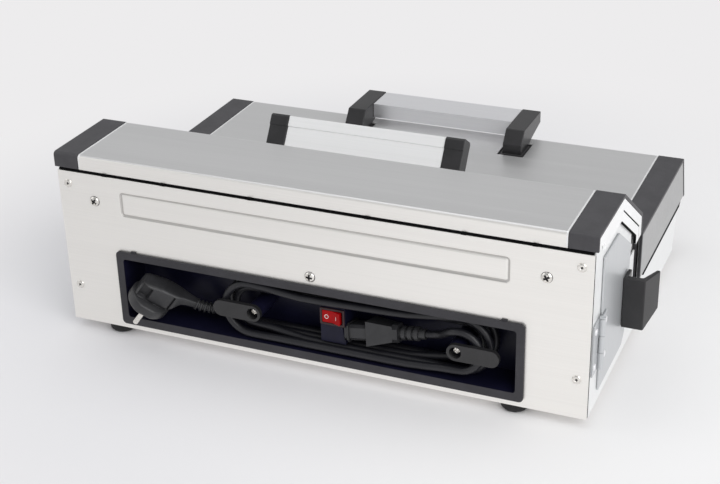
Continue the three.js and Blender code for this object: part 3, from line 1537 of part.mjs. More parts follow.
function leadRoute() {
  const points = [];
  const relief_matrix = plugReliefFrame();
  const step = cord_radius * 2;
  const start = new THREE.Vector3(plugReliefLength() + seat_gap, 0, 0).applyMatrix4(relief_matrix);
  const start_ahead = new THREE.Vector3(plugReliefLength() + seat_gap + step, 0, 0).applyMatrix4(relief_matrix);
  const radiusAt = (turn) => turn_radius * turn_arc_shares[Math.min(turn, turn_arc_shares.length - 1)];
  const at = (x, depth, height) => new THREE.Vector3(x, -depth, height);

  points.push(start, start_ahead);
  const join_x = turn_right_x - (turn_right_x - turn_left_x) * lead_join_share;
  const first = at(join_x, turn_back_depth, hook_height - turn_radius);
  const reach = start_ahead.distanceTo(first) / 3;
  const lead_in = new THREE.CubicBezierCurve3(
    start_ahead,
    start_ahead.clone().add(start_ahead.clone().sub(start).normalize().multiplyScalar(reach * lead_ease_share)),
    first.clone().add(new THREE.Vector3(reach, 0, 0)),
    first,
  );
  points.push(...lead_in.getPoints(steps_per_arc).slice(1));

  const bulge = (r, t, peak) => r + (peak - r) * smooth(Math.min(1, Math.min(t, 1 - t) / run_bulge_share));
  for (let turn = 0; turn <= full_turns; turn += 1) {
    const depth = turn_back_depth - turn * turn_pitch;
    const r_here = radiusAt(turn);
    const r_before = turn === 0 ? turn_radius : radiusAt(turn - 1);
    const run_start = turn === 0 ? join_x : turn_right_x;
    for (let i = 1; i < steps_per_run; i += 1) {
      const t = i / steps_per_run;
      const r = bulge(r_before + (r_here - r_before) * smooth(t), t, turn_radius);
      points.push(at(run_start + (turn_left_x - run_start) * t, depth, hook_height - r));
    }
    const last = turn === full_turns;
    for (let i = 0; i <= steps_per_arc; i += 1) {
      const t = i / steps_per_arc;
      const angle = -Math.PI / 2 + Math.PI * t;
      const r = last ? r_here + (lead_top_radius - r_here) * smooth(t) : r_here;
      points.push(at(turn_left_x - r * Math.cos(angle), depth, hook_height + r * Math.sin(angle)));
    }
    if (last) {
      break;
    }
    for (let i = 1; i < steps_per_run; i += 1) {
      const t = i / steps_per_run;
      points.push(at(turn_left_x + (turn_right_x - turn_left_x) * t, depth - turn_pitch * smooth(t),
        hook_height + bulge(r_here, t, lead_run_radius)));
    }
    for (let i = 0; i <= steps_per_arc; i += 1) {
      const angle = Math.PI / 2 + Math.PI * i / steps_per_arc;
      points.push(at(turn_right_x - r_here * Math.cos(angle), depth - turn_pitch,
        hook_height + r_here * Math.sin(angle)));
    }
  }
  const matrix = connectorFrame();
  const end = new THREE.Vector3(reliefEnd() + seat_gap, 0, 0).applyMatrix4(matrix);
  const end_before = new THREE.Vector3(reliefEnd() + seat_gap + step, 0, 0).applyMatrix4(matrix);
  const last_point = points[points.length - 1];
  const end_reach = last_point.distanceTo(end_before) / 3;
  const lead_out = new THREE.CubicBezierCurve3(
    last_point,
    last_point.clone().add(new THREE.Vector3(end_reach, 0, 0)),
    end_before.clone().add(end_before.clone().sub(end).normalize().multiplyScalar(end_reach)),
    end_before,
  );
  points.push(...lead_out.getPoints(steps_per_arc / 2).slice(1), end);
  return points;
}

// Least distance between stretches of the route that lie more than a few diameters apart along it
function leastSelfGap(points) {
  const along = [0];
  const dense = [];
  for (let i = 1; i < points.length; i += 1) {
    along.push(along[i - 1] + points[i].distanceTo(points[i - 1]));
  }
  for (let i = 0; i + 1 < points.length; i += 1) {
    const parts = Math.max(1, Math.ceil((along[i + 1] - along[i]) / cord_radius));
    for (let k = 0; k < parts; k += 1) {
      dense.push([points[i].clone().lerp(points[i + 1], k / parts), along[i] + (along[i + 1] - along[i]) * k / parts]);
    }
  }
  let least = Infinity;
  for (let i = 0; i < dense.length; i += 1) {
    for (let j = i + 1; j < dense.length; j += 1) {
      if (dense[j][1] - dense[i][1] > cord_radius * 10) {
        least = Math.min(least, dense[i][0].distanceTo(dense[j][0]));
      }
    }
  }
  return { gap: least - cord_radius * 2, length: along[along.length - 1] };
}

function buildLead() {
  const route = leadRoute();
  const measured = leastSelfGap(route);
  console.log(`lead: ${measured.length.toFixed(0)} mm long, least gap to itself ${measured.gap.toFixed(2)} mm`);
  add('power_cord', tube(route, cord_radius, cord_sides), cord_plastic);
}

// Door, hinge and finger grip on the left wall
function buildDoor() {
  const face = half_width + seat_gap;
  add('side_door', prismX(doorOutline(0), -face, -face - wall_sheet), grey_panel);

  const axis = face + hinge_leaf / 2 + hinge_knuckle_radius;
  const span = (hinge_high - hinge_low - knuckle_gap * 2) / 3;
  const leaf_high = [hinge_low, hinge_low + span + knuckle_gap, hinge_low + (span + knuckle_gap) * 2];
  const knuckle = (low) => rod([-axis, -hinge_depth, low], [-axis, -hinge_depth, low + span],
    hinge_knuckle_radius, segments.round);
  const bore = rod([-axis, -hinge_depth, hinge_low - overrun], [-axis, -hinge_depth, hinge_high + overrun],
    hinge_pin_radius + hinge_pin_clearance, segments.round);
  const near = hinge_depth - hinge_knuckle_radius - seat_gap;
  const far = hinge_depth + hinge_knuckle_radius + seat_gap;
  const fixed_face = half_width + seat_gap;
  const door_face = face + wall_sheet + seat_gap;

  const fixed_plate = block(-fixed_face, -fixed_face - hinge_leaf, hinge_leaf_rear_depth, near, hinge_low, hinge_high);
  const fixed_tabs = [leaf_high[0], leaf_high[2]].map((low) => (
    block(-fixed_face, -fixed_face - hinge_leaf, near - overrun, hinge_depth, low, low + span)));
  const fixed_knuckles = [leaf_high[0], leaf_high[2]].map(knuckle);
  add('hinge_leaf_frame', cut(joined([fixed_plate, ...fixed_tabs, ...fixed_knuckles]), [bore]), steel);

  const door_plate = block(-door_face, -door_face - hinge_leaf, far, hinge_leaf_front_depth, hinge_low, hinge_high);
  const door_tab = block(-door_face, -door_face - hinge_leaf, hinge_depth, far + overrun, leaf_high[1],
    leaf_high[1] + span);
  add('hinge_leaf_door', cut(joined([door_plate, door_tab, knuckle(leaf_high[1])]), [bore]), steel);

  const head = turned([
    [0, hinge_low - overrun],
    [hinge_pin_radius, hinge_low - overrun],
    [hinge_pin_radius, hinge_high + seat_gap],
    [hinge_knuckle_radius, hinge_high + seat_gap],
    [hinge_knuckle_radius, hinge_high + seat_gap + overrun],
    [0, hinge_high + seat_gap + overrun],
  ], [-axis, -hinge_depth, 0], [0, 0, 1], segments.round);
  add('hinge_pin', head, nickel);

  const start = door_face;
  const ridge = start + grip_reach;
  const plan = [
    [-start, grip_near_depth],
    [-ridge, grip_near_depth],
    [-ridge - grip_flare, grip_far_depth],
    [-ridge - grip_flare + grip_flange, grip_far_depth],
    [-ridge + grip_flange, grip_near_depth + grip_leg],
    [-start - grip_flange, grip_near_depth + grip_leg],
    [-start - grip_flange, grip_far_depth - grip_leg],
    [-start, grip_far_depth - grip_leg],
  ];
  const profile = prismZ(plan, grip_low, grip_high);
  const notch = prismX([
    [grip_near_depth - overrun * 2, grip_low - overrun * 2],
    [grip_far_depth + overrun, grip_low - overrun * 2],
    [grip_far_depth + overrun, grip_low + grip_notch],
  ], -start + overrun, -ridge - grip_flare - overrun);
  add('door_grip', cut(profile, [notch]), black_plastic);
}

// Wall between the rear housing and the chamber
function buildBulkhead() {
  const half = inner_half - seat_gap;
  const low = seat_gap * 2 + sheet;
  add('bulkhead', block(-half, half, bulkhead_depth, bulkhead_depth + sheet, low, bulkhead_height), steel);
}

// Chamber pan with ledges for the rack and clips for the lower heater
function buildChamber() {
  const flange_half = inner_half - seat_gap;
  const near = bulkhead_depth + sheet + seat_gap;
  const slope = (base_front_depth - base_front_foot_depth) / base_height;
  const far = base_front_depth - sheet - seat_gap - slope * pan_sheet * 2;
  const flange = block(-flange_half, flange_half, near, far, base_height - pan_sheet, base_height);
  const shell = block(-pan_half, pan_half, pan_near_depth, pan_far_depth, pan_floor, base_height);
  const hollow = block(-pan_half + pan_sheet, pan_half - pan_sheet, pan_near_depth + pan_sheet,
    pan_far_depth - pan_sheet, pan_floor + pan_sheet, base_height + overrun);
  const ledges = [-1, 1].map((side) => (
    block(side * (pan_half - pan_sheet / 2), side * (pan_half - pan_sheet - ledge_width),
      pan_near_depth + pan_sheet / 2, pan_far_depth - pan_sheet / 2, ledge_height - pan_sheet, ledge_height)));
  const clips = clipPairs(heater_low_height, pan_floor + pan_sheet / 2, -1);
  add('chamber_pan', joined([cut(joined([flange, shell]), [hollow]), ...ledges, ...clips]), steel);

  const rack_half = pan_half - pan_sheet - rack_margin - rack_rod;
  const rack_near = pan_near_depth + pan_sheet + rack_margin + rack_rod;
  const rack_far = pan_far_depth - pan_sheet - rack_margin - rack_rod;
  const height = ledge_height + seat_gap + rack_rod;
  const corners = [
    [-rack_half, -rack_near, height],
    [rack_half, -rack_near, height],
    [rack_half, -rack_far, height],
    [-rack_half, -rack_far, height],
  ];
  const rods = corners.map((corner, i) => rod(corner, corners[(i + 1) % corners.length], rack_rod, segments.round / 2));
  const knots = corners.map(([x, y, z]) => {
    const ball = new THREE.SphereGeometry(rack_rod, segments.round / 2, segments.round / 4);
    return placed(ball, new THREE.Matrix4().makeTranslation(x, y, z));
  });
  const wires = [];
  for (let i = 1; i <= rack_wires; i += 1) {
    const x = -rack_half + rack_half * 2 * i / (rack_wires + 1);
    wires.push(rod([x, -rack_near, height], [x, -rack_far, height], rack_wire, segments.arc));
  }
  add('board_rack', joined([...rods, ...knots, ...wires]), nickel);
  add('lower_heater', hairpin(heater_low_height), heater_metal);
  add('upper_heater', hairpin(heater_high_height), heater_metal);
}

// Controller board with its transformer, heat sink and capacitors
function buildElectronics() {
  const top = board_height + board_thickness;
  const board = block(board_left_x, board_right_x, board_near_depth, board_far_depth, board_height, top);
  const sink_x = board_left_x + sink_length / 2 + standoff_radius * 5;
  const sink_near = board_far_depth - sink_depth - standoff_radius * 4;
  const parts = [board];
  parts.push(block(sink_x - sink_length / 2, sink_x + sink_length / 2, sink_near, sink_near + sink_depth,
    top - sheet / 2, top + sink_base));
  for (let i = 0; i < sink_fins; i += 1) {
    const depth = sink_near + (sink_depth - sink_fin) * i / (sink_fins - 1);
    parts.push(block(sink_x - sink_length / 2, sink_x + sink_length / 2, depth, depth + sink_fin,
      top + sink_base / 2, top + sink_height));
  }
  const core_x = board_right_x - transformer_length / 2 - standoff_radius * 5;
  const core_near = board_near_depth + standoff_radius * 4;
  parts.push(block(core_x - transformer_length / 2, core_x + transformer_length / 2, core_near,
    core_near + transformer_depth, top - sheet / 2, top + transformer_height));
  for (let i = 0; i < 2; i += 1) {
    const x = sink_x + i * capacitor_radius * 3;
    const depth = board_near_depth + capacitor_radius * 2;
    parts.push(rod([x, -depth, top - sheet / 2], [x, -depth, top + capacitor_height], capacitor_radius, segments.round));
  }
  add('controller_board', joined(parts), board_green);
}

// Cooling fan on the right wall: a square frame with spokes, and a rotor on its axle
function buildFan() {
  const outer = inner_half - seat_gap;
  const inner = outer - fan_thickness;
  const half = fan_size / 2;
  const low = fan_height - half;
  const shell = block(inner, outer, vent_depth - half, vent_depth + half, low, low + fan_size);
  const bore = rod([inner - overrun, -vent_depth, fan_height], [outer + overrun, -vent_depth, fan_height],
    fan_bore_radius, segments.fine);
  const spokes = [];
  for (let i = 0; i < fan_spokes; i += 1) {
    const angle = 2 * Math.PI * i / fan_spokes + Math.PI / 2;
    const bar = new THREE.BoxGeometry(fan_spoke_thickness, fan_bore_radius + overrun, fan_spoke_width);
    bar.translate(0, (fan_bore_radius + overrun) / 2, 0);
    bar.rotateX(angle);
    spokes.push(placed(bar, new THREE.Matrix4().makeTranslation(inner + fan_spoke_thickness / 2, -vent_depth, fan_height)));
  }
  const hub = rod([inner, -vent_depth, fan_height], [inner + fan_spoke_thickness, -vent_depth, fan_height],
    fan_hub_radius, segments.wide);
  const axle = rod([inner, -vent_depth, fan_height], [outer - fan_standoff, -vent_depth, fan_height],
    fan_axle_radius, segments.round);
  add('fan_frame', joined([cut(shell, [bore]), ...spokes, hub, axle]), black_plastic);

  const start = inner + fan_spoke_thickness + fan_seat_gap;
  const end = outer - fan_standoff;
  const drum = rod([start, -vent_depth, fan_height], [end, -vent_depth, fan_height], fan_hub_radius, segments.wide);
  const hole = rod([start - overrun, -vent_depth, fan_height], [end + overrun, -vent_depth, fan_height],
    fan_axle_radius + fan_axle_clearance, segments.round);
  const blades = [];
  const reach = fan_bore_radius - fan_blade_gap;
  for (let i = 0; i < fan_blades; i += 1) {
    const blade = new THREE.BoxGeometry(fan_blade_width, reach - fan_hub_radius + overrun, fan_blade_thickness);
    blade.rotateY(Math.PI / 5);
    blade.translate(0, (reach + fan_hub_radius - overrun) / 2, 0);
    blade.rotateX(2 * Math.PI * i / fan_blades);
    blades.push(placed(blade, new THREE.Matrix4().makeTranslation((start + end) / 2, -vent_depth, fan_height)));
  }
  add('fan_rotor', cut(joined([drum, ...blades]), [hole]), black_mat);
}

buildBase();
buildFeet();
buildSideWalls();
buildRearWall();
buildWallScrews();
buildSeal();
buildCordBay();
buildHooks();
buildSwitch();
buildConnector();
buildPlug();
buildLead();
buildBulkhead();
buildChamber();
buildRimSeal();
buildElectronics();
buildFan();
buildDoor();
buildCover();
buildControls();
buildCoverHandle();
buildLid();
buildLidHandle();

// The origin is the middle of the footprint, on the surface that the feet stand on
const door_side_reach = half_width + seat_gap * 2 + wall_sheet + grip_reach + grip_flare;
oven.position.set((door_side_reach - end_half) / 2, (bracket_front_depth - wing_proud) / 2, foot_height);

export default oven;
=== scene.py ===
"""Dressed model of a bench-top reflow oven, seen from its rear.

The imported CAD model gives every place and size. Each sub-assembly below dresses its own nodes:
sheet metal gets rounded edges and a brushed finish, moulded pieces get soft edges and grain, and
the mains lead, the rear wall with its pressed field, the feet and the small fasteners are worked
out finer. Lengths are written in millimetres of the body frame (x, depth, height), where depth
runs from the rear wall towards the operator, and are turned to metres once.
"""

import json
import logging
import math
from dataclasses import dataclass
from enum import Enum

import bmesh
import bpy
import numpy as np
from mathutils import Matrix, Vector

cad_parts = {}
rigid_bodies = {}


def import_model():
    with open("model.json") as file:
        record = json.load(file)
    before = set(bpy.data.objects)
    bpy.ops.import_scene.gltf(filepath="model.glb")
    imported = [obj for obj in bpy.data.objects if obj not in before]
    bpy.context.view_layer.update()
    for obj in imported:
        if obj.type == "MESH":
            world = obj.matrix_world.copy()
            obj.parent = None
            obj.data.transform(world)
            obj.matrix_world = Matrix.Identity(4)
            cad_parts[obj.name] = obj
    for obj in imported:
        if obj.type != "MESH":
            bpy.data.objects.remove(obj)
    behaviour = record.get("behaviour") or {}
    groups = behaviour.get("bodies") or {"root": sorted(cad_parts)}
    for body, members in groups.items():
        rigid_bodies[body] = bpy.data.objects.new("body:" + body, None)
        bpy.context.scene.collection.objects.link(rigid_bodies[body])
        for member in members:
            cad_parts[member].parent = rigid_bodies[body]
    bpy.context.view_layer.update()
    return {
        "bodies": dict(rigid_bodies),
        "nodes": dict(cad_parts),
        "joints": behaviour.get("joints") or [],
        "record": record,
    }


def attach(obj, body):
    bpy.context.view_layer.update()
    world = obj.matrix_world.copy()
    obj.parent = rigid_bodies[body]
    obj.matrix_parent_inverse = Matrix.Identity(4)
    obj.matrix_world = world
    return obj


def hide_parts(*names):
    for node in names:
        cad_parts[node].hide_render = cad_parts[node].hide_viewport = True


LOG = logging.getLogger("oven")

# Two numbers that belong together, such as the ends of a span, and a row of flat points
Pair = tuple[float, float]
Profile = tuple[Pair, ...]

# Metres in a millimetre
MM = 0.001
# Place of the body frame's origin in the row frame, in millimetres
ORIGIN = np.array((12.8, 175.0, 9.0))
# Gap between pieces that lie on each other, in millimetres
SEAT_GAP = 0.3
# Radius of a revolved ring that stands for a point, in millimetres
POINT_RADIUS = 0.01


class Body(Enum):
    """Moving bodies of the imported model."""

    HOUSING = "housing"
    COVER = "cover"
    LID = "lid"
    DOOR = "door"
    ROCKER = "switch_rocker"
    KEY_ONE = "key_one"
    KEY_TWO = "key_two"
    ROTOR = "rotor"


class Side(Enum):
    """Sides of the oven, as the operator sees them."""

    LEFT = -1
    RIGHT = 1

    @property
    def word(self) -> str:
        """The side's name in node names."""
        return self.name.lower()

    def span(self, reach: Pair) -> Pair:
        """Two distances from the middle plane, turned into x on this side."""
        return self.value * reach[0], self.value * reach[1]


class Axis(Enum):
    """Axes of the body frame, by their place in a point."""

    X = 0
    DEPTH = 1
    HEIGHT = 2


class Grain(Enum):
    """Direction of the brush strokes on a sheet, as the long axis of the streaks."""

    ACROSS = (1.0, 0.0, 0.0)
    DEEP = (0.0, 1.0, 0.0)
    UPRIGHT = (0.0, 0.0, 1.0)


def placed(points: np.ndarray) -> np.ndarray:
    """Turns body millimetres into the row frame: depth changes sign, then the origin is added.

    Args:
        points: array whose last axis holds x, depth and height.

    Returns:
        The array in metres.
    """
    return (np.asarray(points, float) * (1, -1, 1) + ORIGIN) * MM


def row(x: float, depth: float, height: float) -> Vector:
    """One point of the body frame as a vector of the row frame."""
    return Vector(placed(np.array((x, depth, height))))


def linear(code: int) -> tuple[float, float, float, float]:
    """Turns an sRGB hex colour into linear values, by the standard curve.

    Args:
        code: colour as 0xRRGGBB.

    Returns:
        Linear red, green and blue, and full opacity.
    """
    c = np.array([(code >> shift) & 255 for shift in (16, 8, 0)]) / 255
    r, g, b = np.where(c <= 0.04045, c / 12.92, ((c + 0.055) / 1.055) ** 2.4)
    return (float(r), float(g), float(b), 1.0)


def add_node(tree: bpy.types.NodeTree, kind: str, inputs: dict | None = None,
             **settings: object) -> bpy.types.Node:
    """Adds a node with its settings and links.

    Args:
        tree: the node tree.
        kind: type of the node.
        inputs: for each input, by name or number, a value or the output that feeds it.
        settings: the node's own properties.

    Returns:
        The node.
    """
    node = tree.nodes.new(kind)
    for name, value in settings.items():
        setattr(node, name, value)
    for key, value in (inputs or {}).items():
        if isinstance(value, bpy.types.NodeSocket):
            tree.links.new(value, node.inputs[key])
        else:
            node.inputs[key].default_value = value
    return node


def feed(node: bpy.types.Node, sources: dict[str, bpy.types.NodeSocket]) -> None:
    """Links an output to each named input of a node that is there already."""
    for socket, source in sources.items():
        node.id_data.links.new(source, node.inputs[socket])


def start_material(name: str, sockets: dict[str, float]) -> tuple[
        bpy.types.Material, bpy.types.Node, bpy.types.NodeSocket]:
    """Starts a material with plain values on its shader.

    Args:
        name: material name.
        sockets: value of each shader input that isn't left as it comes.

    Returns:
        The material, its shader and the output that carries the object coordinates.
    """
    material = bpy.data.materials.new(name)
    material.use_nodes = True
    shader = material.node_tree.nodes["Principled BSDF"]
    for socket, value in sockets.items():
        shader.inputs[socket].default_value = value
    place = add_node(material.node_tree, "ShaderNodeTexCoord").outputs["Object"]
    return material, shader, place


def per_metre(length: float) -> float:
    """Noise scale whose pattern repeats about once in a length given in millimetres."""
    return 1 / (length * MM)


# Finishes


@dataclass(frozen=True)
class BrushedMetal:
    """Rolled sheet or extrusion, brushed one way on a belt.

    It gives the eye a satin metal: broad soft reflections, drawn out along faint parallel streaks.
    A real stroke is about 0.1 mm wide, too fine to show, so it is drawn about 0.8 mm wide.
    """

    name: str
    light: int
    dull: int
    roughness: float
    grain: Grain = Grain.ACROSS
    metallic: float = 1.0
    stroke_width: float = 0.8
    stroke_length: float = 160.0
    band_width: float = 7.0
    band_length: float = 480.0
    band_share: float = 0.6
    sheen_swing: float = 0.025
    relief: float = 0.03

    def material(self) -> bpy.types.Material:
        """Tints the metal by fine strokes and broader bands, which also turn relief and gloss.

        Returns:
            The material.
        """
        material, shader, place = start_material(
            self.name, {"Metallic": self.metallic, "Roughness": self.roughness})
        tree = material.node_tree
        along = np.array(self.grain.value)
        fine = along * per_metre(self.stroke_length) + (1 - along) * per_metre(self.stroke_width)
        broad = along * per_metre(self.band_length) + (1 - along) * per_metre(self.band_width)
        fine_place = add_node(tree, "ShaderNodeMapping", {"Vector": place, "Scale": tuple(fine)})
        broad_place = add_node(tree, "ShaderNodeMapping", {"Vector": place, "Scale": tuple(broad)})
        strokes = add_node(tree, "ShaderNodeTexNoise", {
            "Vector": fine_place.outputs[0], "Scale": 1.0, "Detail": 3.0, "Roughness": 0.6})
        bands = add_node(tree, "ShaderNodeTexNoise", {
            "Vector": broad_place.outputs[0], "Scale": 1.0, "Detail": 2.0, "Roughness": 0.5})
        both = add_node(tree, "ShaderNodeMath", {
            0: bands.outputs[0], 1: self.band_share, 2: strokes.outputs[0]}, operation="MULTIPLY_ADD")
        share = add_node(tree, "ShaderNodeMapRange", {
            "Value": both.outputs[0], "From Min": 0.5, "From Max": 1.1})
        colour = add_node(tree, "ShaderNodeMix", {
            "Factor": share.outputs[0], "A": linear(self.dull), "B": linear(self.light)}, data_type="RGBA")
        sheen = add_node(tree, "ShaderNodeMapRange", {
            "Value": bands.outputs[0], "From Min": 0.3, "From Max": 0.7,
            "To Min": self.roughness - self.sheen_swing, "To Max": self.roughness + self.sheen_swing})
        bump = add_node(tree, "ShaderNodeBump", {
            "Height": strokes.outputs[0], "Strength": 0.1, "Distance": self.relief * MM})
        feed(shader, {"Base Color": colour.outputs["Result"], "Roughness": sheen.outputs[0],
                      "Normal": bump.outputs[0]})
        return material


@dataclass(frozen=True)
class MouldedPlastic:
    """Injection-moulded plastic or rubber with a spark-eroded skin.

    It gives the eye an even dark body with a soft, slightly broken gloss and a trace of dust.
    The real grain is about 0.15 mm, too fine to show, so it is drawn about 0.7 mm wide.
    """

    name: str
    light: int
    dark: int
    roughness: float
    grain: float = 0.7
    relief: float = 0.04
    patch: float = 17.0
    specular: float = 0.45
    gloss_swing: Pair = (-0.06, 0.08)

    def material(self) -> bpy.types.Material:
        """Breaks the gloss with the grain and pales the colour where dust lies.

        Returns:
            The material.
        """
        material, shader, place = start_material(
            self.name, {"Roughness": self.roughness, "Specular IOR Level": self.specular})
        tree = material.node_tree
        skin = add_node(tree, "ShaderNodeTexNoise", {
            "Vector": place, "Scale": per_metre(self.grain), "Detail": 3.0, "Roughness": 0.6})
        dust = add_node(tree, "ShaderNodeTexNoise", {
            "Vector": place, "Scale": per_metre(self.patch), "Detail": 4.0, "Roughness": 0.6})
        share = add_node(tree, "ShaderNodeMapRange", {
            "Value": dust.outputs[0], "From Min": 0.35, "From Max": 0.75})
        colour = add_node(tree, "ShaderNodeMix", {
            "Factor": share.outputs[0], "A": linear(self.dark), "B": linear(self.light)}, data_type="RGBA")
        gloss = add_node(tree, "ShaderNodeMapRange", {
            "Value": skin.outputs[0], "From Min": 0.3, "From Max": 0.7,
            "To Min": self.roughness + self.gloss_swing[0], "To Max": self.roughness + self.gloss_swing[1]})
        bump = add_node(tree, "ShaderNodeBump", {
            "Height": skin.outputs[0], "Strength": 0.25, "Distance": self.relief * MM})
        feed(shader, {"Base Color": colour.outputs["Result"], "Roughness": gloss.outputs[0],
                      "Normal": bump.outputs[0]})
        return material


@dataclass(frozen=True)
class LacqueredSheet:
    """Sheet steel under a sprayed satin lacquer.

    It gives the eye a plain grey with a faint orange peel, whose dimples are about 3 mm wide.
    """

    name: str
    light: int
    dull: int
    roughness: float
    metallic: float = 0.3
    dimple: float = 3.0
    patch: float = 110.0
    gloss_swing: Pair = (-0.04, 0.05)
    relief: float = 0.06

    def material(self) -> bpy.types.Material:
        """Breaks the gloss with the orange peel and changes the tone in wide patches.

        Returns:
            The material.
        """
        material, shader, place = start_material(
            self.name, {"Metallic": self.metallic, "Roughness": self.roughness})
        tree = material.node_tree
        peel = add_node(tree, "ShaderNodeTexNoise", {
            "Vector": place, "Scale": per_metre(self.dimple), "Detail": 2.0})
        patches = add_node(tree, "ShaderNodeTexNoise", {
            "Vector": place, "Scale": per_metre(self.patch), "Detail": 3.0})
        share = add_node(tree, "ShaderNodeMapRange", {
            "Value": patches.outputs[0], "From Min": 0.3, "From Max": 0.7})
        colour = add_node(tree, "ShaderNodeMix", {
            "Factor": share.outputs[0], "A": linear(self.dull), "B": linear(self.light)}, data_type="RGBA")
        gloss = add_node(tree, "ShaderNodeMapRange", {
            "Value": peel.outputs[0], "From Min": 0.3, "From Max": 0.7,
            "To Min": self.roughness + self.gloss_swing[0], "To Max": self.roughness + self.gloss_swing[1]})
        bump = add_node(tree, "ShaderNodeBump", {
            "Height": peel.outputs[0], "Strength": 0.15, "Distance": self.relief * MM})
        feed(shader, {"Base Color": colour.outputs["Result"], "Roughness": gloss.outputs[0],
                      "Normal": bump.outputs[0]})
        return material


@dataclass(frozen=True)
class PlatedMetal:
    """Steel or brass with a bright nickel plating.

    It gives the eye small sharp highlights, broken by handling marks about 1.4 mm long.
    """

    name: str
    light: int
    dull: int
    roughness: float
    mark: float = 1.4
    gloss_swing: Pair = (-0.05, 0.1)

    def material(self) -> bpy.types.Material:
        """Dulls the plating wherever a handling mark lies.

        Returns:
            The material.
        """
        material, shader, place = start_material(self.name, {"Metallic": 1.0, "Roughness": self.roughness})
        tree = material.node_tree
        marks = add_node(tree, "ShaderNodeTexNoise", {
            "Vector": place, "Scale": per_metre(self.mark), "Detail": 3.0, "Roughness": 0.6})
        share = add_node(tree, "ShaderNodeMapRange", {
            "Value": marks.outputs[0], "From Min": 0.35, "From Max": 0.7})
        colour = add_node(tree, "ShaderNodeMix", {
            "Factor": share.outputs[0], "A": linear(self.dull), "B": linear(self.light)}, data_type="RGBA")
        gloss = add_node(tree, "ShaderNodeMapRange", {
            "Value": marks.outputs[0], "From Min": 0.3, "From Max": 0.75,
            "To Min": self.roughness + self.gloss_swing[0], "To Max": self.roughness + self.gloss_swing[1]})
        feed(shader, {"Base Color": colour.outputs["Result"], "Roughness": gloss.outputs[0]})
        return material


@dataclass(frozen=True)
class HeaterSheath:
    """Drawn steel sheath of a heater, coloured by heat.

    It gives the eye brown and grey bands, about 45 mm long, with a scale-like skin.
    """

    name: str = "heater_sheath_annealed"
    pale: int = 0x8C857E
    brown: int = 0x4D423A
    band: float = 45.0
    scale: float = 8.0
    relief: float = 0.08

    def material(self) -> bpy.types.Material:
        """Changes the colour and the skin along the sheath.

        Returns:
            The material.
        """
        material, shader, place = start_material(self.name, {"Metallic": 0.8, "Roughness": 0.5})
        tree = material.node_tree
        mapping = add_node(tree, "ShaderNodeMapping", {
            "Vector": place, "Scale": (per_metre(self.band), per_metre(self.scale), per_metre(self.scale))})
        bands = add_node(tree, "ShaderNodeTexNoise", {
            "Vector": mapping.outputs[0], "Scale": 1.0, "Detail": 4.0, "Roughness": 0.6})
        share = add_node(tree, "ShaderNodeMapRange", {
            "Value": bands.outputs[0], "From Min": 0.35, "From Max": 0.65})
        colour = add_node(tree, "ShaderNodeMix", {
            "Factor": share.outputs[0], "A": linear(self.brown), "B": linear(self.pale)}, data_type="RGBA")
        bump = add_node(tree, "ShaderNodeBump", {
            "Height": bands.outputs[0], "Strength": 0.2, "Distance": self.relief * MM})
        feed(shader, {"Base Color": colour.outputs["Result"], "Normal": bump.outputs[0]})
        return material


@dataclass(frozen=True)
class SolderMask:
    """Glass-fibre circuit board under a printed green mask.

    It gives the eye raised, paler lines about 0.5 mm wide where copper tracks run under the mask.
    """

    name: str = "solder_mask_printed"
    track: int = 0x2F7A4D
    ground: int = 0x14492E
    spacing: float = 7.0
    relief: float = 0.05

    def material(self) -> bpy.types.Material:
        """Raises and pales the lines between the cells of a pattern.

        Returns:
            The material.
        """
        material, shader, place = start_material(self.name, {"Roughness": 0.4})
        tree = material.node_tree
        cells = add_node(tree, "ShaderNodeTexVoronoi", {
            "Vector": place, "Scale": per_metre(self.spacing)}, feature="DISTANCE_TO_EDGE")
        lines = add_node(tree, "ShaderNodeMapRange", {
            "Value": cells.outputs["Distance"], "From Min": 0.03, "From Max": 0.07,
            "To Min": 1.0, "To Max": 0.0})
        colour = add_node(tree, "ShaderNodeMix", {
            "Factor": lines.outputs[0], "A": linear(self.ground), "B": linear(self.track)}, data_type="RGBA")
        bump = add_node(tree, "ShaderNodeBump", {
            "Height": lines.outputs[0], "Strength": 0.3, "Distance": self.relief * MM})
        feed(shader, {"Base Color": colour.outputs["Result"], "Normal": bump.outputs[0]})
        return material


@dataclass(frozen=True)
class SmokedWindow:
    """Polished smoked acrylic over a display.

    It gives the eye a near-black, sharp gloss with wipe marks about 28 mm long.
    """

    name: str = "acrylic_smoked"
    clean: int = 0x0B0D10
    wiped: int = 0x15191D
    mark: float = 28.0
    gloss_range: Pair = (0.05, 0.16)

    def material(self) -> bpy.types.Material:
        """Pales and dulls the window where it was wiped.

        Returns:
            The material.
        """
        material, shader, place = start_material(self.name, {"Roughness": 0.08, "Coat Weight": 0.4})
        tree = material.node_tree
        marks = add_node(tree, "ShaderNodeTexNoise", {
            "Vector": place, "Scale": per_metre(self.mark), "Detail": 4.0, "Roughness": 0.6})
        share = add_node(tree, "ShaderNodeMapRange", {
            "Value": marks.outputs[0], "From Min": 0.3, "From Max": 0.7})
        colour = add_node(tree, "ShaderNodeMix", {
            "Factor": share.outputs[0], "A": linear(self.clean), "B": linear(self.wiped)}, data_type="RGBA")
        gloss = add_node(tree, "ShaderNodeMapRange", {
            "Value": marks.outputs[0], "From Min": 0.35, "From Max": 0.7,
            "To Min": self.gloss_range[0], "To Max": self.gloss_range[1]})
        feed(shader, {"Base Color": colour.outputs["Result"], "Roughness": gloss.outputs[0]})
        return material


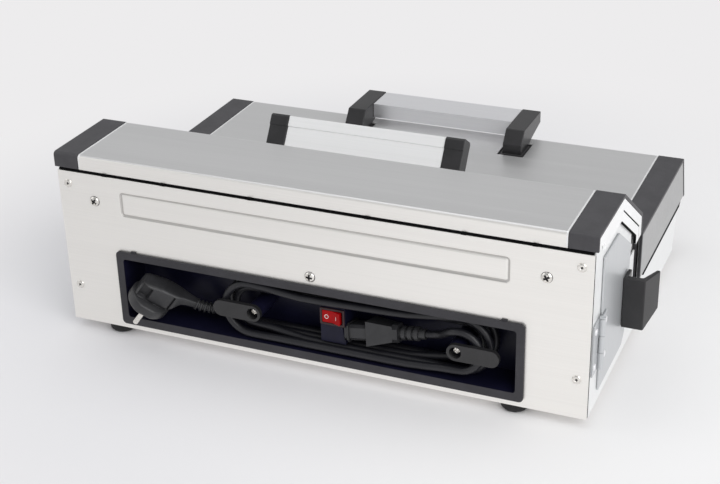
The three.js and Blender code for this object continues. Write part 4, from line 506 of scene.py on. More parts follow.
class Palette:
    """Every finish of the oven, made into a material once."""

    def __init__(self) -> None:
        """Makes the materials."""
        # Sheet steel: brushing and tone differ, so that the planes part in the light; the top steel and the
        # door steel are darker copies of the wall's steel, painted shade on the tops and on the door
        self.steel = BrushedMetal(
            "stainless_steel_brushed", 0xF3F1ED, 0xEEECE8, 0.38, metallic=0.8).material()
        self.top_steel_painted_shade = BrushedMetal(
            "stainless_steel_satin_top", 0xE0E0E0, 0xDBDBDB, 0.38, metallic=0.85).material()
        self.inner = BrushedMetal(
            "bright_steel_folded", 0xC4C3C0, 0xAFAEAB, 0.4, Grain.DEEP).material()
        self.side = BrushedMetal(
            "stainless_steel_satin_side", 0xF0F1F1, 0xEBECEC, 0.4, Grain.DEEP, 0.45).material()
        # Darker copy of the side's steel: painted shade for the dim reflection of the floor in the door
        self.door = BrushedMetal(
            "stainless_steel_satin_door", 0xC8CACC, 0xC0C2C4, 0.36, Grain.UPRIGHT, 0.5).material()
        # Extrusions: the fin and the cut edges mirror less of the room than the bar does
        self.aluminium = BrushedMetal(
            "aluminium_anodised", 0xF2F2F4, 0xECECEF, 0.34, metallic=0.8).material()
        self.fin = BrushedMetal(
            "aluminium_anodised_fin", 0xF0F0F0, 0xEAEAEA, 0.42, metallic=0.45).material()
        # Pressed groove, darker than the wall's steel, painted shade in the groove; and lacquered ends, plain
        # greys beside the steel
        self.groove = BrushedMetal("stainless_steel_groove", 0xCBC9C6, 0xC2C0BD, 0.45).material()
        self.cover_end = LacqueredSheet("lacquered_cover_end", 0xF8F8F8, 0xF2F2F2, 0.42).material()
        self.lid_end = LacqueredSheet("lacquered_lid_end", 0xACACAC, 0xA5A5A5, 0.42).material()
        # Mouldings: blacks that differ in gloss and in a trace of colour
        self.cap = MouldedPlastic("abs_cap_grained", 0x444346, 0x3A393C, 0.5).material()
        self.grip = MouldedPlastic("abs_grip_grained", 0x29282A, 0x212122, 0.34).material()
        self.frame = MouldedPlastic("abs_frame_grained", 0x323136, 0x29282C, 0.45).material()
        # Tub: a darker, glossier copy of the frame's black; its darker colour is painted shade deep in the
        # bay and behind the hooks' wings
        self.tub_painted_shade = MouldedPlastic(
            "abs_tub_painted_shade", 0x17172C, 0x111123, 0.35, relief=0.01, specular=0.22).material()
        # Near-black foam of the real seals; the same finish makes the black strips that stand for shadow
        # gaps, painted shade
        self.seal = MouldedPlastic("foam_seal_and_painted_shade", 0x070708, 0x040405, 0.9, specular=0.1).material()
        self.cord = MouldedPlastic(
            "pvc_cable_drawn", 0x1D1D22, 0x15151A, 0.4, grain=1.1, relief=0.03).material()
        self.plug = MouldedPlastic(
            "pvc_plug_moulded", 0x343436, 0x2A2A2C, 0.42, grain=1.1, relief=0.03).material()
        self.rubber = MouldedPlastic(
            "rubber_foot_moulded", 0x1E1D1E, 0x171718, 0.8, grain=2.0, relief=0.1).material()
        # Switch and keys: small mouldings that stand out by colour
        self.red = MouldedPlastic(
            "polycarbonate_red", 0xA80509, 0x900307, 0.4, grain=0.4, relief=0.01, specular=0.15).material()
        self.bezel = MouldedPlastic("nylon_bezel_moulded", 0x33191C, 0x261214, 0.4).material()
        self.mark = MouldedPlastic("ink_white_printed", 0xE6E2E0, 0xD8D4D2, 0.5).material()
        self.key = MouldedPlastic("abs_key_grey", 0x9A9DA1, 0x8B8E92, 0.45).material()
        # Fasteners, window, boards and heaters
        self.nickel = PlatedMetal("nickel_plate_bright", 0xF0EEEA, 0xD8D5CF, 0.15).material()
        self.glass = SmokedWindow().material()
        self.board = SolderMask().material()
        self.heater = HeaterSheath().material()


# Mesh helpers


def shaded(obj: bpy.types.Object, angle: float) -> bpy.types.Object:
    """Shades an object smooth and keeps its hard edges.

    Args:
        obj: the object.
        angle: faces that meet at more than this keep a hard edge, in degrees.

    Returns:
        The same object.
    """
    obj.data.polygons.foreach_set("use_smooth", np.ones(len(obj.data.polygons), bool))
    obj.data.set_sharp_from_angle(angle=math.radians(angle))
    return obj


def put_in_scene(name: str, data: bpy.types.Mesh, finish: bpy.types.Material) -> bpy.types.Object:
    """Makes an object of a mesh, with one finish, at the origin.

    Args:
        name: object name.
        data: its mesh.
        finish: its material.

    Returns:
        The new object.
    """
    data.materials.clear()
    data.materials.append(finish)
    obj = bpy.data.objects.new(name, data)
    bpy.context.scene.collection.objects.link(obj)
    return obj


def baked(obj: bpy.types.Object) -> bpy.types.Object:
    """Turns an object's modifiers into its mesh.

    Args:
        obj: the object.

    Returns:
        The same object, with a new mesh and no modifiers.
    """
    graph = bpy.context.evaluated_depsgraph_get()
    mesh = bpy.data.meshes.new_from_object(obj.evaluated_get(graph), depsgraph=graph)
    obj.modifiers.clear()
    obj.data = mesh
    return obj


def skin(name: str, rings: np.ndarray, finish: bpy.types.Material,
         caps: tuple[bool, bool] = (True, True), closed: bool = False, angle: float = 32) -> bpy.types.Object:
    """Skins a grid of points: face (i, k) joins points k and k + 1 of ring i to those of ring i + 1.

    Args:
        name: object name.
        rings: array of rings, points and coordinates, in metres; each ring is closed on itself.
        finish: its material.
        caps: whether the first and the last ring are filled.
        closed: whether the last ring joins the first.
        angle: smoothing angle in degrees.

    Returns:
        The new object.
    """
    count, sides = rings.shape[:2]
    index = np.arange(count * sides).reshape(count, sides)
    lower = index if closed else index[:-1]
    upper = np.roll(index, -1, axis=0) if closed else index[1:]
    quads = np.stack((lower, np.roll(lower, -1, 1), np.roll(upper, -1, 1), upper), -1)
    faces = quads.reshape(-1, 4).tolist()
    if caps[0] and not closed:
        faces.append(index[0, ::-1].tolist())
    if caps[1] and not closed:
        faces.append(index[-1].tolist())
    data = bpy.data.meshes.new(name)
    data.from_pydata(rings.reshape(-1, 3).tolist(), [], faces)
    mesh = bmesh.new()
    mesh.from_mesh(data)
    bmesh.ops.recalc_face_normals(mesh, faces=mesh.faces)
    mesh.to_mesh(data)
    mesh.free()
    return shaded(put_in_scene(name, data, finish), angle)


def turned(name: str, profile: Profile, base: tuple[float, float, float], axis: Vector,
           finish: bpy.types.Material, sides: int = 48) -> bpy.types.Object:
    """Revolves a profile: point (i, a) is base + radius_i (cos a, sin a) across the axis + along_i on it.

    Args:
        name: object name.
        profile: radius and distance along the axis, in millimetres; it starts and ends at the axis.
        base: point on the axis, in body millimetres.
        axis: direction of the axis in the row frame.
        finish: its material.
        sides: number of sides.

    Returns:
        The new object.
    """
    turn = np.array(Vector((0, 0, 1)).rotation_difference(axis.normalized()).to_matrix())
    radius, along = np.array(profile, float).T
    a = np.linspace(0, 2 * math.pi, sides, endpoint=False)
    reach = np.maximum(radius, POINT_RADIUS)[:, None]
    local = np.stack((reach * np.cos(a), reach * np.sin(a), np.repeat(along[:, None], sides, 1)), -1)
    return skin(name, placed(np.array(base)) + local @ turn.T * MM, finish)


def rounded(half_a: float, half_b: float, radius: float, steps: int = 8) -> np.ndarray:
    """Rectangle with round corners: each corner's centre plus the radius turned through a quarter.

    Args:
        half_a: half length.
        half_b: half height.
        radius: corner radius.
        steps: points per corner.

    Returns:
        Array of points about the origin.
    """
    radius = min(radius, half_a, half_b)
    signs = np.array(((1, -1), (1, 1), (-1, 1), (-1, -1)))
    centres = signs * (half_a - radius, half_b - radius)
    angles = (np.arange(4) - 1)[:, None] * math.pi / 2 + np.linspace(0, math.pi / 2, steps)
    arcs = radius * np.stack((np.cos(angles), np.sin(angles)), -1)
    return (centres[:, None] + arcs).reshape(-1, 2)


def filleted(points: np.ndarray, radius: float, steps: int) -> np.ndarray:
    """Rounds the inner corners of an open outline by arcs that touch both of a corner's sides.

    The arc's centre lies on the bisector, at radius / sin(half the corner), and the arc turns from
    one touching point to the other.

    Args:
        points: outline corners.
        radius: corner radius.
        steps: points per corner.

    Returns:
        The rounded outline.
    """
    corner = points[1:-1]
    back = points[:-2] - corner
    ahead = points[2:] - corner
    back = back / np.linalg.norm(back, axis=1)[:, None]
    ahead = ahead / np.linalg.norm(ahead, axis=1)[:, None]
    half = np.arccos(np.clip((back * ahead).sum(1), -1, 1))[:, None] / 2
    bisector = (back + ahead) / np.linalg.norm(back + ahead, axis=1)[:, None]
    middle = corner + bisector * radius / np.sin(half)
    start = corner + back * radius / np.tan(half) - middle
    end = corner + ahead * radius / np.tan(half) - middle
    turn = np.arctan2(start[:, 0] * end[:, 1] - start[:, 1] * end[:, 0], (start * end).sum(1))
    a = turn[:, None] * np.linspace(0, 1, steps)
    x = middle[:, :1] + start[:, :1] * np.cos(a) - start[:, 1:] * np.sin(a)
    y = middle[:, 1:] + start[:, :1] * np.sin(a) + start[:, 1:] * np.cos(a)
    return np.vstack((points[:1], np.stack((x, y), -1).reshape(-1, 2), points[-1:]))


def moved_over(points: np.ndarray, distance: float) -> np.ndarray:
    """Moves an open outline to its right, so that each side lies a distance further over.

    Each point moves by the sum of the normals of its two sides, times the distance, over one plus
    the product of the normals.

    Args:
        points: outline corners.
        distance: how far each side moves.

    Returns:
        The moved outline.
    """
    along = np.diff(points, axis=0)
    normal = np.stack((along[:, 1], -along[:, 0]), 1) / np.linalg.norm(along, axis=1)[:, None]
    before = np.vstack((normal[:1], normal))
    after = np.vstack((normal, normal[-1:]))
    scale = distance / (1 + (before * after).sum(1))
    return points + (before + after) * scale[:, None]


def rectangle(a: Pair, b: Pair) -> np.ndarray:
    """Corners of a rectangle that spans a along its first axis and b along its second."""
    return np.array(((a[0], b[0]), (a[1], b[0]), (a[1], b[1]), (a[0], b[1])))


def carried(outline: np.ndarray, axis: Axis, stops: Pair) -> np.ndarray:
    """Rings of a flat outline at two stops along the axis that its points lack.

    Args:
        outline: points in millimetres of the body frame, without their place on the axis.
        axis: the axis that it is carried along.
        stops: where the rings lie on it.

    Returns:
        The rings in metres of the row frame.
    """
    return placed(np.stack([np.insert(outline, axis.value, stop, 1) for stop in stops]))


def swept(name: str, path: np.ndarray, radius: float, sides: int,
          finish: bpy.types.Material) -> bpy.types.Object:
    """Round tube: point (i, a) is path_i + radius (cos a across_i + sin a up_i).

    Across is square to the path and to the depth axis, and up is square to both, so no ring twists
    as long as the path never runs along the depth axis.

    Args:
        name: object name.
        path: points in metres.
        radius: tube radius in metres.
        sides: sides of each ring.
        finish: its material.

    Returns:
        The new object.
    """
    tangent = np.gradient(path, axis=0)
    tangent /= np.linalg.norm(tangent, axis=1)[:, None]
    across = np.cross((0.0, 1.0, 0.0), tangent)
    across /= np.linalg.norm(across, axis=1)[:, None]
    up = np.cross(tangent, across)
    a = np.linspace(0, 2 * math.pi, sides, endpoint=False)[:, None]
    rings = path[:, None] + radius * (np.cos(a) * across[:, None] + np.sin(a) * up[:, None])
    return skin(name, rings, finish)


def cut_plate(name: str, outlines: list[np.ndarray], place: Matrix, thickness: float, edge: float,
              finish: bpy.types.Material) -> bpy.types.Object:
    """Flat plate with holes and softened edges, from a filled curve made a mesh.

    Args:
        name: object name.
        outlines: the outer outline, then the holes, in millimetres of the plate's plane.
        place: matrix from the plate's frame to the row frame.
        thickness: thickness in millimetres, centred on the plane.
        edge: width of the softened edge in millimetres.
        finish: its material.

    Returns:
        The new object.
    """
    curve = bpy.data.curves.new(name, "CURVE")
    curve.dimensions = "2D"
    curve.fill_mode = "BOTH"
    curve.extrude = (thickness / 2 - edge) * MM
    curve.bevel_depth = edge * MM
    curve.bevel_resolution = 2
    curve.offset = -edge * MM
    for points in outlines:
        spline = curve.splines.new("POLY")
        spline.points.add(len(points) - 1)
        flat = np.zeros((len(points), 4))
        flat[:, :2] = points * MM
        flat[:, 3] = 1
        spline.points.foreach_set("co", flat.ravel())
        spline.use_cyclic_u = True
    source = bpy.data.objects.new(name, curve)
    bpy.context.scene.collection.objects.link(source)
    graph = bpy.context.evaluated_depsgraph_get()
    data = bpy.data.meshes.new_from_object(source.evaluated_get(graph), depsgraph=graph)
    bpy.data.objects.remove(source)
    data.transform(place)
    return shaded(put_in_scene(name, data, finish), angle=25)


def give_faces(piece: bpy.types.Object, chosen: np.ndarray, finish: bpy.types.Material) -> None:
    """Gives a finish to the chosen faces of a piece; chosen holds True or False for every face."""
    piece.data.materials.append(finish)
    piece.data.polygons.foreach_set("material_index", chosen.astype(np.int32))


def give_deep_faces(piece: bpy.types.Object, limit: float, finish: bpy.types.Material) -> None:
    """Gives a finish to the deep faces of a piece.

    Args:
        piece: the piece.
        limit: faces whose middle lies deeper than this get it, in body millimetres.
        finish: the material.
    """
    centres = np.empty(len(piece.data.polygons) * 3)
    piece.data.polygons.foreach_get("center", centres)
    give_faces(piece, ORIGIN[1] - centres[1::3] / MM > limit, finish)


@dataclass
class Workshop:
    """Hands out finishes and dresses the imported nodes.

    Points of a node closer than the weld distance, in metres, become one, and faces that meet at
    less than the flat angle, in degrees, become one before the edges are rounded.
    """

    frame: dict
    finish: Palette
    weld: float = 2e-6
    flat_angle: float = 0.4
    smooth_angle: float = 38.0

    def own(self, obj: bpy.types.Object, body: Body, *nodes: str) -> bpy.types.Object:
        """Puts a new piece on its body, lets it stand for CAD nodes and reports it.

        Args:
            obj: the piece.
            body: the body that it rides on.
            nodes: CAD nodes that it replaces.

        Returns:
            The piece.
        """
        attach(obj, body.value)
        if nodes:
            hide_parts(*nodes)
        LOG.info("%s rides on %s with %d faces", obj.name, body.value, len(obj.data.polygons))
        return obj

    def dress(self, node: str, body: Body, finish: bpy.types.Material, edge: float = 0.5,
              segments: int = 2, angle: float = 30) -> bpy.types.Object:
        """Replaces a CAD node by a copy with rounded edges and a finish.

        Args:
            node: name of the CAD node.
            body: the body that it rides on.
            finish: its material.
            edge: width of the rounded edges in millimetres.
            segments: steps across a rounded edge.
            angle: edges flatter than this are left alone, in degrees.

        Returns:
            The dressed copy.
        """
        mesh = bmesh.new()
        mesh.from_mesh(self.frame["nodes"][node].data)
        bmesh.ops.remove_doubles(mesh, verts=mesh.verts, dist=self.weld)
        bmesh.ops.dissolve_limit(mesh, angle_limit=math.radians(self.flat_angle), verts=mesh.verts,
                                 edges=mesh.edges)
        data = bpy.data.meshes.new(f"{node}_dressed")
        mesh.to_mesh(data)
        mesh.free()
        obj = put_in_scene(f"{node}_dressed", data, finish)
        if edge > 0:
            bevel = obj.modifiers.new("edge", "BEVEL")
            bevel.width = edge * MM
            bevel.segments = segments
            bevel.limit_method = "ANGLE"
            bevel.angle_limit = math.radians(angle)
            bevel.use_clamp_overlap = True
            bevel.miter_outer = "MITER_ARC"
        shaded(baked(obj), self.smooth_angle)
        weight = obj.modifiers.new("normals", "WEIGHTED_NORMAL")
        weight.keep_sharp = True
        return self.own(baked(obj), body, node)


# Sub-assemblies


@dataclass
class Shell:
    """Base, side walls, bulkhead, seals and feet."""

    shop: Workshop
    foot_places: tuple[tuple[str, float, float], ...] = (
        ("rear_left", -176.5, 13.5), ("rear_right", 197.5, 13.5), ("front_left", -185.0, 300.0),
        ("front_right", 185.0, 300.0))
    foot_profile: Profile = (
        (0, -9), (9.2, -9), (10.1, -8.7), (10.6, -8.1), (10.9, -7.2), (11.6, -6.9), (12, -6.3),
        (12, -0.6), (11.6, -0.1), (3, 0), (3, 5), (0, 5))
    # Black strips up the rear corners: painted shade in the gap between the rear wall and the side walls
    shadow_line_reach: Pair = (239.6, 240.1)
    shadow_line_depths: Pair = (1.4, 3.0)
    shadow_line_heights: Pair = (1.0, 147.0)
    rim_reach: float = 242.0
    rim_start: float = 178.0
    rim_front: float = 334.3
    rim_width: float = 3.4
    rim_heights: Pair = (45.9, 47.6)
    # The seal's lip, black, which is also painted shade for the gap under the lid's end plate
    lip_reach: Pair = (240.05, 242.0)
    lip_heights: Pair = (43.8, 46.0)
    lip_front: float = 331.0

    def build(self) -> None:
        """Dresses the fixed sheet metal and turns the feet."""
        f = self.shop.finish
        self.shop.dress("base_pan", Body.HOUSING, f.steel, edge=0.35)
        self.shop.dress("bulkhead", Body.HOUSING, f.inner, edge=0.3)
        self.shop.dress("cover_seal", Body.HOUSING, f.seal, edge=0.3)
        self._rim_seal()
        for side in Side:
            self.shop.dress(f"side_panel_{side.word}", Body.HOUSING, f.side, edge=0.3)
            self._corner_joint(side)
        for name, x, depth in self.foot_places:
            foot = turned(f"foot_{name}_turned", self.foot_profile, (x, depth, 0), Vector((0, 0, 1)),
                          f.rubber)
            self.shop.own(foot, Body.HOUSING, f"foot_{name}")

    def _corner_joint(self, side: Side) -> None:
        """Lays a black strip up the corner where the rear wall meets a side wall, painted shade in the gap
        between them: a rectangle carried up the corner.

        Args:
            side: side of the oven.
        """
        outline = rectangle(side.span(self.shadow_line_reach), self.shadow_line_depths)
        # A black strip standing for the corner's shadow gap: painted shade
        joint = skin(f"corner_joint_{side.word}", carried(outline, Axis.HEIGHT, self.shadow_line_heights),
                     self.shop.finish.seal)
        self.shop.own(joint, Body.HOUSING)

    def _rim_seal(self) -> None:
        """Lays the black strip on the base's rim: a rectangle carried round three sides of the base."""
        x, front = self.rim_reach, self.rim_front
        path = np.array(((-x, self.rim_start), (-x, front), (x, front), (x, self.rim_start)))
        inner = path + self.rim_width * np.array(((1, 0), (1, -1), (-1, -1), (-1, 0)))
        low, high = self.rim_heights
        outline = np.stack((path, path, inner, inner), 1)
        heights = np.broadcast_to(np.array((low, high, high, low)), outline.shape[:2])
        rings = np.concatenate((outline, heights[..., None]), -1)
        strip = skin("rim_seal_strip", placed(rings), self.shop.finish.seal)
        self.shop.own(strip, Body.HOUSING, "rim_seal")
        for side in Side:
            self._rim_lip(side)

    def _rim_lip(self, side: Side) -> None:
        """Hangs the strip's lip over the rim: a rectangle carried along the base's side. The black lip also
        stands for the shadow gap under the lid's end plate, painted shade.

        Args:
            side: side of the oven.
        """
        outline = rectangle(side.span(self.lip_reach), self.lip_heights)
        lip = skin(f"rim_lip_{side.word}", carried(outline, Axis.DEPTH, (self.rim_start, self.lip_front)),
                   self.shop.finish.seal)
        self.shop.own(lip, Body.HOUSING)


@dataclass
class RearWall:
    """Rear wall with its window, pressed field, rivets and screws."""

    shop: Workshop
    half_width: float = 240.0
    height: float = 147.6
    thickness: float = 1.5
    corner: float = 0.8
    edge: float = 0.3
    window_half: float = 183.0
    window_heights: Pair = (11.0, 73.3)
    window_corner: float = 4.8
    field_x: float = 3.0
    field_half: float = 176.0
    field_heights: Pair = (112.0, 134.5)
    field_corner: float = 3.4
    field_gap: float = 0.4
    groove_profile: Profile = (
        (-1.2, -0.02), (-0.6, 0.02), (-0.2, 0.25), (0.3, 0.8), (0.8, 1.15), (1.3, 1.25), (1.8, 1.1),
        (2.4, 0.65), (2.9, 0.42), (3.6, 0.35))
    painted_shade_rings: tuple[int, int] = (2, 6)
    groove_least_corner: float = 1.2
    rivet_reach: float = 230.3
    rivet_heights: tuple[tuple[str, float], ...] = (("low", 36.0), ("high", 136.0))
    rivet_profile: Profile = (
        (0, -0.6), (3.9, -0.6), (3.95, 0.05), (3.75, 0.5), (3.2, 0.95), (2.3, 1.2), (1.5, 1.15),
        (1.05, 0.8), (0.95, 0.3), (0, 0.3))
    bore_shade_profile: Profile = ((0, 0.2), (0.9, 0.2), (0.9, 0.45), (0.63, 0.55), (0, 0.6))
    screw_places: tuple[tuple[str, float, float, float], ...] = (
        ("left", -203.0, 122.6, 0.5), ("middle", 0.0, 85.6, 1.5), ("right", 204.8, 122.6, 2.5))
    screw_radius: float = 4.9
    screw_rise: float = 2.1
    screw_sink: float = 0.8
    screw_rings: int = 44
    screw_sides: int = 96
    tip_share: float = 0.004
    cross_half_width: float = 0.75
    cross_half_length: float = 2.7
    cross_sink: float = 1.8
    cross_slope: float = 0.3
    shadow_rim_rings: int = 3

    def build(self) -> None:
        """Makes the wall, the pressed field and the fasteners."""
        self._wall()
        self._field()
        for side in Side:
            for word, height in self.rivet_heights:
                self._rivet(f"rivet_{side.word}_{word}", (side.value * self.rivet_reach, 0, height))
        for name, x, height, turn in self.screw_places:
            self._screw(name, x, height, turn)

    def _outline(self, x: float, half: float, heights: Pair, corner: float, steps: int = 8) -> np.ndarray:
        """Rounded rectangle on the wall.

        Args:
            x: its middle across the body.
            half: half its width.
            heights: heights of its lower and upper side.
            corner: corner radius.
            steps: points per corner.

        Returns:
            Array of x and height.
        """
        low, high = heights
        return rounded(half, (high - low) / 2, corner, steps) + (x, (low + high) / 2)

    def _wall(self) -> None:
        """Cuts the flat wall with its window and the ring of the pressed field."""
        outer = self._outline(0, self.half_width, (0, self.height), self.corner, steps=4)
        window = self._outline(0, self.window_half, self.window_heights, self.window_corner)
        low, high = self.field_heights
        ring = self._outline(self.field_x, self.field_half + self.field_gap,
                             (low - self.field_gap, high + self.field_gap), self.field_corner)
        place = Matrix.Translation(row(0, self.thickness / 2, 0)) @ Matrix.Rotation(math.pi / 2, 4, "X")
        wall = cut_plate("rear_wall", [outer, window[::-1], ring[::-1]], place, self.thickness, self.edge,
                         self.shop.finish.steel)
        self.shop.own(wall, Body.HOUSING, "rear_panel")

    def _field(self) -> None:
        """Presses the field: a narrow groove round it, then a level that lies a little below the wall.

        Each ring is the rounded outline moved inwards and sunk, both read from the groove's profile.
        """
        low, high = self.field_heights
        rings = np.array([
            np.insert(self._outline(self.field_x, self.field_half - inset, (low + inset, high - inset),
                                    max(self.field_corner - inset, self.groove_least_corner)), 1, sink, 1)
            for inset, sink in self.groove_profile])
        pressed = skin("rear_wall_pressed_field", placed(rings), self.shop.finish.steel, caps=(False, True),
                       angle=60)
        ring = np.arange(len(pressed.data.polygons)) // rings.shape[1]
        # The groove's slopes take the darker groove finish: painted shade in the groove
        first, end = self.painted_shade_rings
        give_faces(pressed, (ring >= first) & (ring < end), self.shop.finish.groove)
        self.shop.own(pressed, Body.HOUSING)

    def _rivet(self, name: str, base: tuple[float, float, float]) -> None:
        """Turns a rivet's ring and a dark disc in its middle, painted shade in the rivet's bore.

        Args:
            name: name of the ring.
            base: middle of the rivet on the wall's face, in body millimetres.
        """
        out = Vector((0, 1, 0))
        ring = turned(name, self.rivet_profile, base, out, self.shop.finish.nickel, sides=32)
        self.shop.own(ring, Body.HOUSING)
        # A dark disc in the frame's moulding finish: painted shade in the bore
        end = turned(f"{name}_mandrel", self.bore_shade_profile, base, out, self.shop.finish.frame, sides=24)
        self.shop.own(end, Body.HOUSING)

    def _screw(self, name: str, x: float, height: float, turn: float) -> None:
        """Forms a pan-head screw with a cross recess.

        The head's height is rise × (1 − (r / radius)⁴), less the recess's depth wherever the point
        lies within half a slot's width of one of two crossing lines and within a slot's reach. The
        recess and the outermost rings, where the head meets the wall, get the dark finish: painted
        shade in the recess and a painted shadow round the head.

        Args:
            name: which screw.
            x: distance across the body.
            height: height above the wall's lower edge.
            turn: angle of the cross in radians.
        """
        r = self.screw_radius * np.linspace(1, self.tip_share, self.screw_rings)[:, None]
        a = np.linspace(0, 2 * math.pi, self.screw_sides, endpoint=False)
        u = r * np.cos(a + turn)
        v = r * np.sin(a + turn)
        slot = np.minimum(np.abs(u), np.abs(v)) - self.cross_half_width
        reach = np.maximum(np.abs(u), np.abs(v)) - self.cross_half_length
        inside = np.clip(0.5 - np.maximum(slot, reach) / self.cross_slope, 0, 1)
        rise = self.screw_rise * (1 - (r / self.screw_radius) ** 4) - self.cross_sink * inside
        head = np.stack((x + r * np.cos(a), -rise, height + r * np.sin(a)), -1)
        foot = head[:1] + (0, self.screw_sink, 0)
        piece = skin(f"wall_screw_{name}_head", placed(np.concatenate((foot, head))), self.shop.finish.nickel,
                     angle=40)
        # Each face takes the value of its first point; the two caps, at foot and tip, come last
        # The outermost rings join the recess in the dark finish: a painted shadow where the head meets the
        # wall
        inside[:self.shadow_rim_rings] = 1
        value = np.concatenate((inside[:1], inside[:-1])).ravel()
        give_faces(piece, np.append(value, (0, 1)) > 0.5, self.shop.finish.frame)
        self.shop.own(piece, Body.HOUSING, f"wall_screw_{name}")


def edge_trim(name: str, corners: Profile, side: Side, reach: Pair, bend: float, thickness: float,
              finish: bpy.types.Material, inset: float = 0) -> bpy.types.Object:
    """Strip along a bent outline: the outline and the same moved inwards, carried along x.

    Args:
        name: object name.
        corners: depth and height of the outline's corners.
        side: side of the oven.
        reach: where the strip starts and ends along x.
        bend: bending radius.
        thickness: how far the strip goes inwards.
        finish: its material.
        inset: how far inside the outline the strip starts.

    Returns:
        The new object.
    """
    path = moved_over(filleted(np.array(corners), bend, steps=8), inset)
    outline = np.vstack((path, moved_over(path, thickness)[::-1]))
    return skin(name, carried(outline, Axis.X, side.span(reach)), finish)


@dataclass
class Hood:
    """What the cover and the lid have in common: a bent sheet between two capped sides."""

    shop: Workshop
    trim_reach: Pair = (216.7, 218.1)
    trim_thickness: float = 0.5
    bend: float = 3.1

    def _cap_side(self, word: str, body: Body, side: Side, corners: Profile,
                  end_finish: bpy.types.Material, end_edge: float) -> None:
        """Dresses the cap and the end plate of a side and lays the sheet's bright cut edge by the cap.

        Args:
            word: first word of the nodes' names.
            body: the body that they ride on.
            side: side of the oven.
            corners: depth and height of the sheet's corners.
            end_finish: material of the end plate.
            end_edge: width of the end plate's rounded edges in millimetres.
        """
        f = self.shop.finish
        self.shop.dress(f"{word}_cap_{side.word}", body, f.cap, edge=0.9, segments=3)
        self.shop.dress(f"{word}_end_{side.word}", body, end_finish, end_edge)
        trim = edge_trim(f"{word}_edge_{side.word}", corners, side, self.trim_reach, self.bend,
                         self.trim_thickness, f.fin)
        self.shop.own(trim, body)


@dataclass
class Cover(Hood):
    """Hinged rear cover with caps, ends, display and keys."""

    corners: Profile = ((0.85, 151.0), (0.85, 163.65), (82.5, 163.65), (156.15, 114.1), (157.1, 96.0))
    skirt_depth: float = 1.9
    # Black strips along each end of the cover: painted shade that draws the shadow gaps beside the end plates
    slit_corners: Profile = ((86.5, 160.96), (156.15, 114.1), (157.1, 96.0))
    slit_reach: Pair = (240.4, 241.95)
    slit_insets: Pair = (11.2, 20.4)
    slit_bend: float = 2.0
    slit_width: float = 1.5

    def build(self) -> None:
        """Dresses the cover."""
        f = self.shop.finish
        sheet = self.shop.dress("cover_sheet", Body.COVER, f.steel, edge=0.35)
        # Only the rear skirt keeps the bright steel; the deeper faces take the darker top steel, painted
        # shade on the same sheet
        give_deep_faces(sheet, self.skirt_depth, f.top_steel_painted_shade)
        for side in Side:
            self._cap_side("cover", Body.COVER, side, self.corners, f.cover_end, 0.3)
            # Each strip is painted shade in a slit beside the end plate
            for number, inset in enumerate(self.slit_insets, 1):
                slit = edge_trim(f"cover_slit_{side.word}_{number}", self.slit_corners, side,
                                 self.slit_reach, inset + self.slit_bend, self.slit_width, f.seal, inset)
                self.shop.own(slit, Body.COVER)
        self.shop.dress("display_window", Body.COVER, f.glass, edge=0.4)
        self.shop.dress("controls_board", Body.COVER, f.board, edge=0.2)
        self.shop.dress("fascia_key_1", Body.KEY_ONE, f.key, edge=0.3)
        self.shop.dress("fascia_key_2", Body.KEY_TWO, f.key, edge=0.3)


@dataclass
class Lid(Hood):
    """Front lid with its liner and upper heater."""

    corners: Profile = ((159.85, 49.0), (159.85, 93.45), (332.7, 93.45), (350.15, 48.5))

    def build(self) -> None:
        """Dresses the lid."""
        f = self.shop.finish
        # The lid sheet takes the darker top steel: painted shade on the top
        self.shop.dress("lid_sheet", Body.LID, f.top_steel_painted_shade, edge=0.35)
        self.shop.dress("lid_liner", Body.LID, f.inner, edge=0.25)
        self.shop.dress("upper_heater", Body.LID, f.heater, edge=0)
        for side in Side:
            self._cap_side("lid", Body.LID, side, self.corners, f.lid_end, 0.35)


@dataclass
class Handles:
    """The two bar handles."""

    shop: Workshop
    end_edge: float = 0.8

    def build(self) -> None:
        """Dresses both handles."""
        f = self.shop.finish
        for side in Side:
            self.shop.dress(f"cover_handle_end_{side.word}", Body.COVER, f.grip, self.end_edge, segments=3)
            self.shop.dress(f"lid_handle_end_{side.word}", Body.LID, f.grip, self.end_edge, segments=3)
        self.shop.dress("cover_handle_bar", Body.COVER, f.fin, edge=0.3, angle=12)
        self.shop.dress("lid_handle_bar", Body.LID, f.aluminium, edge=0.15)


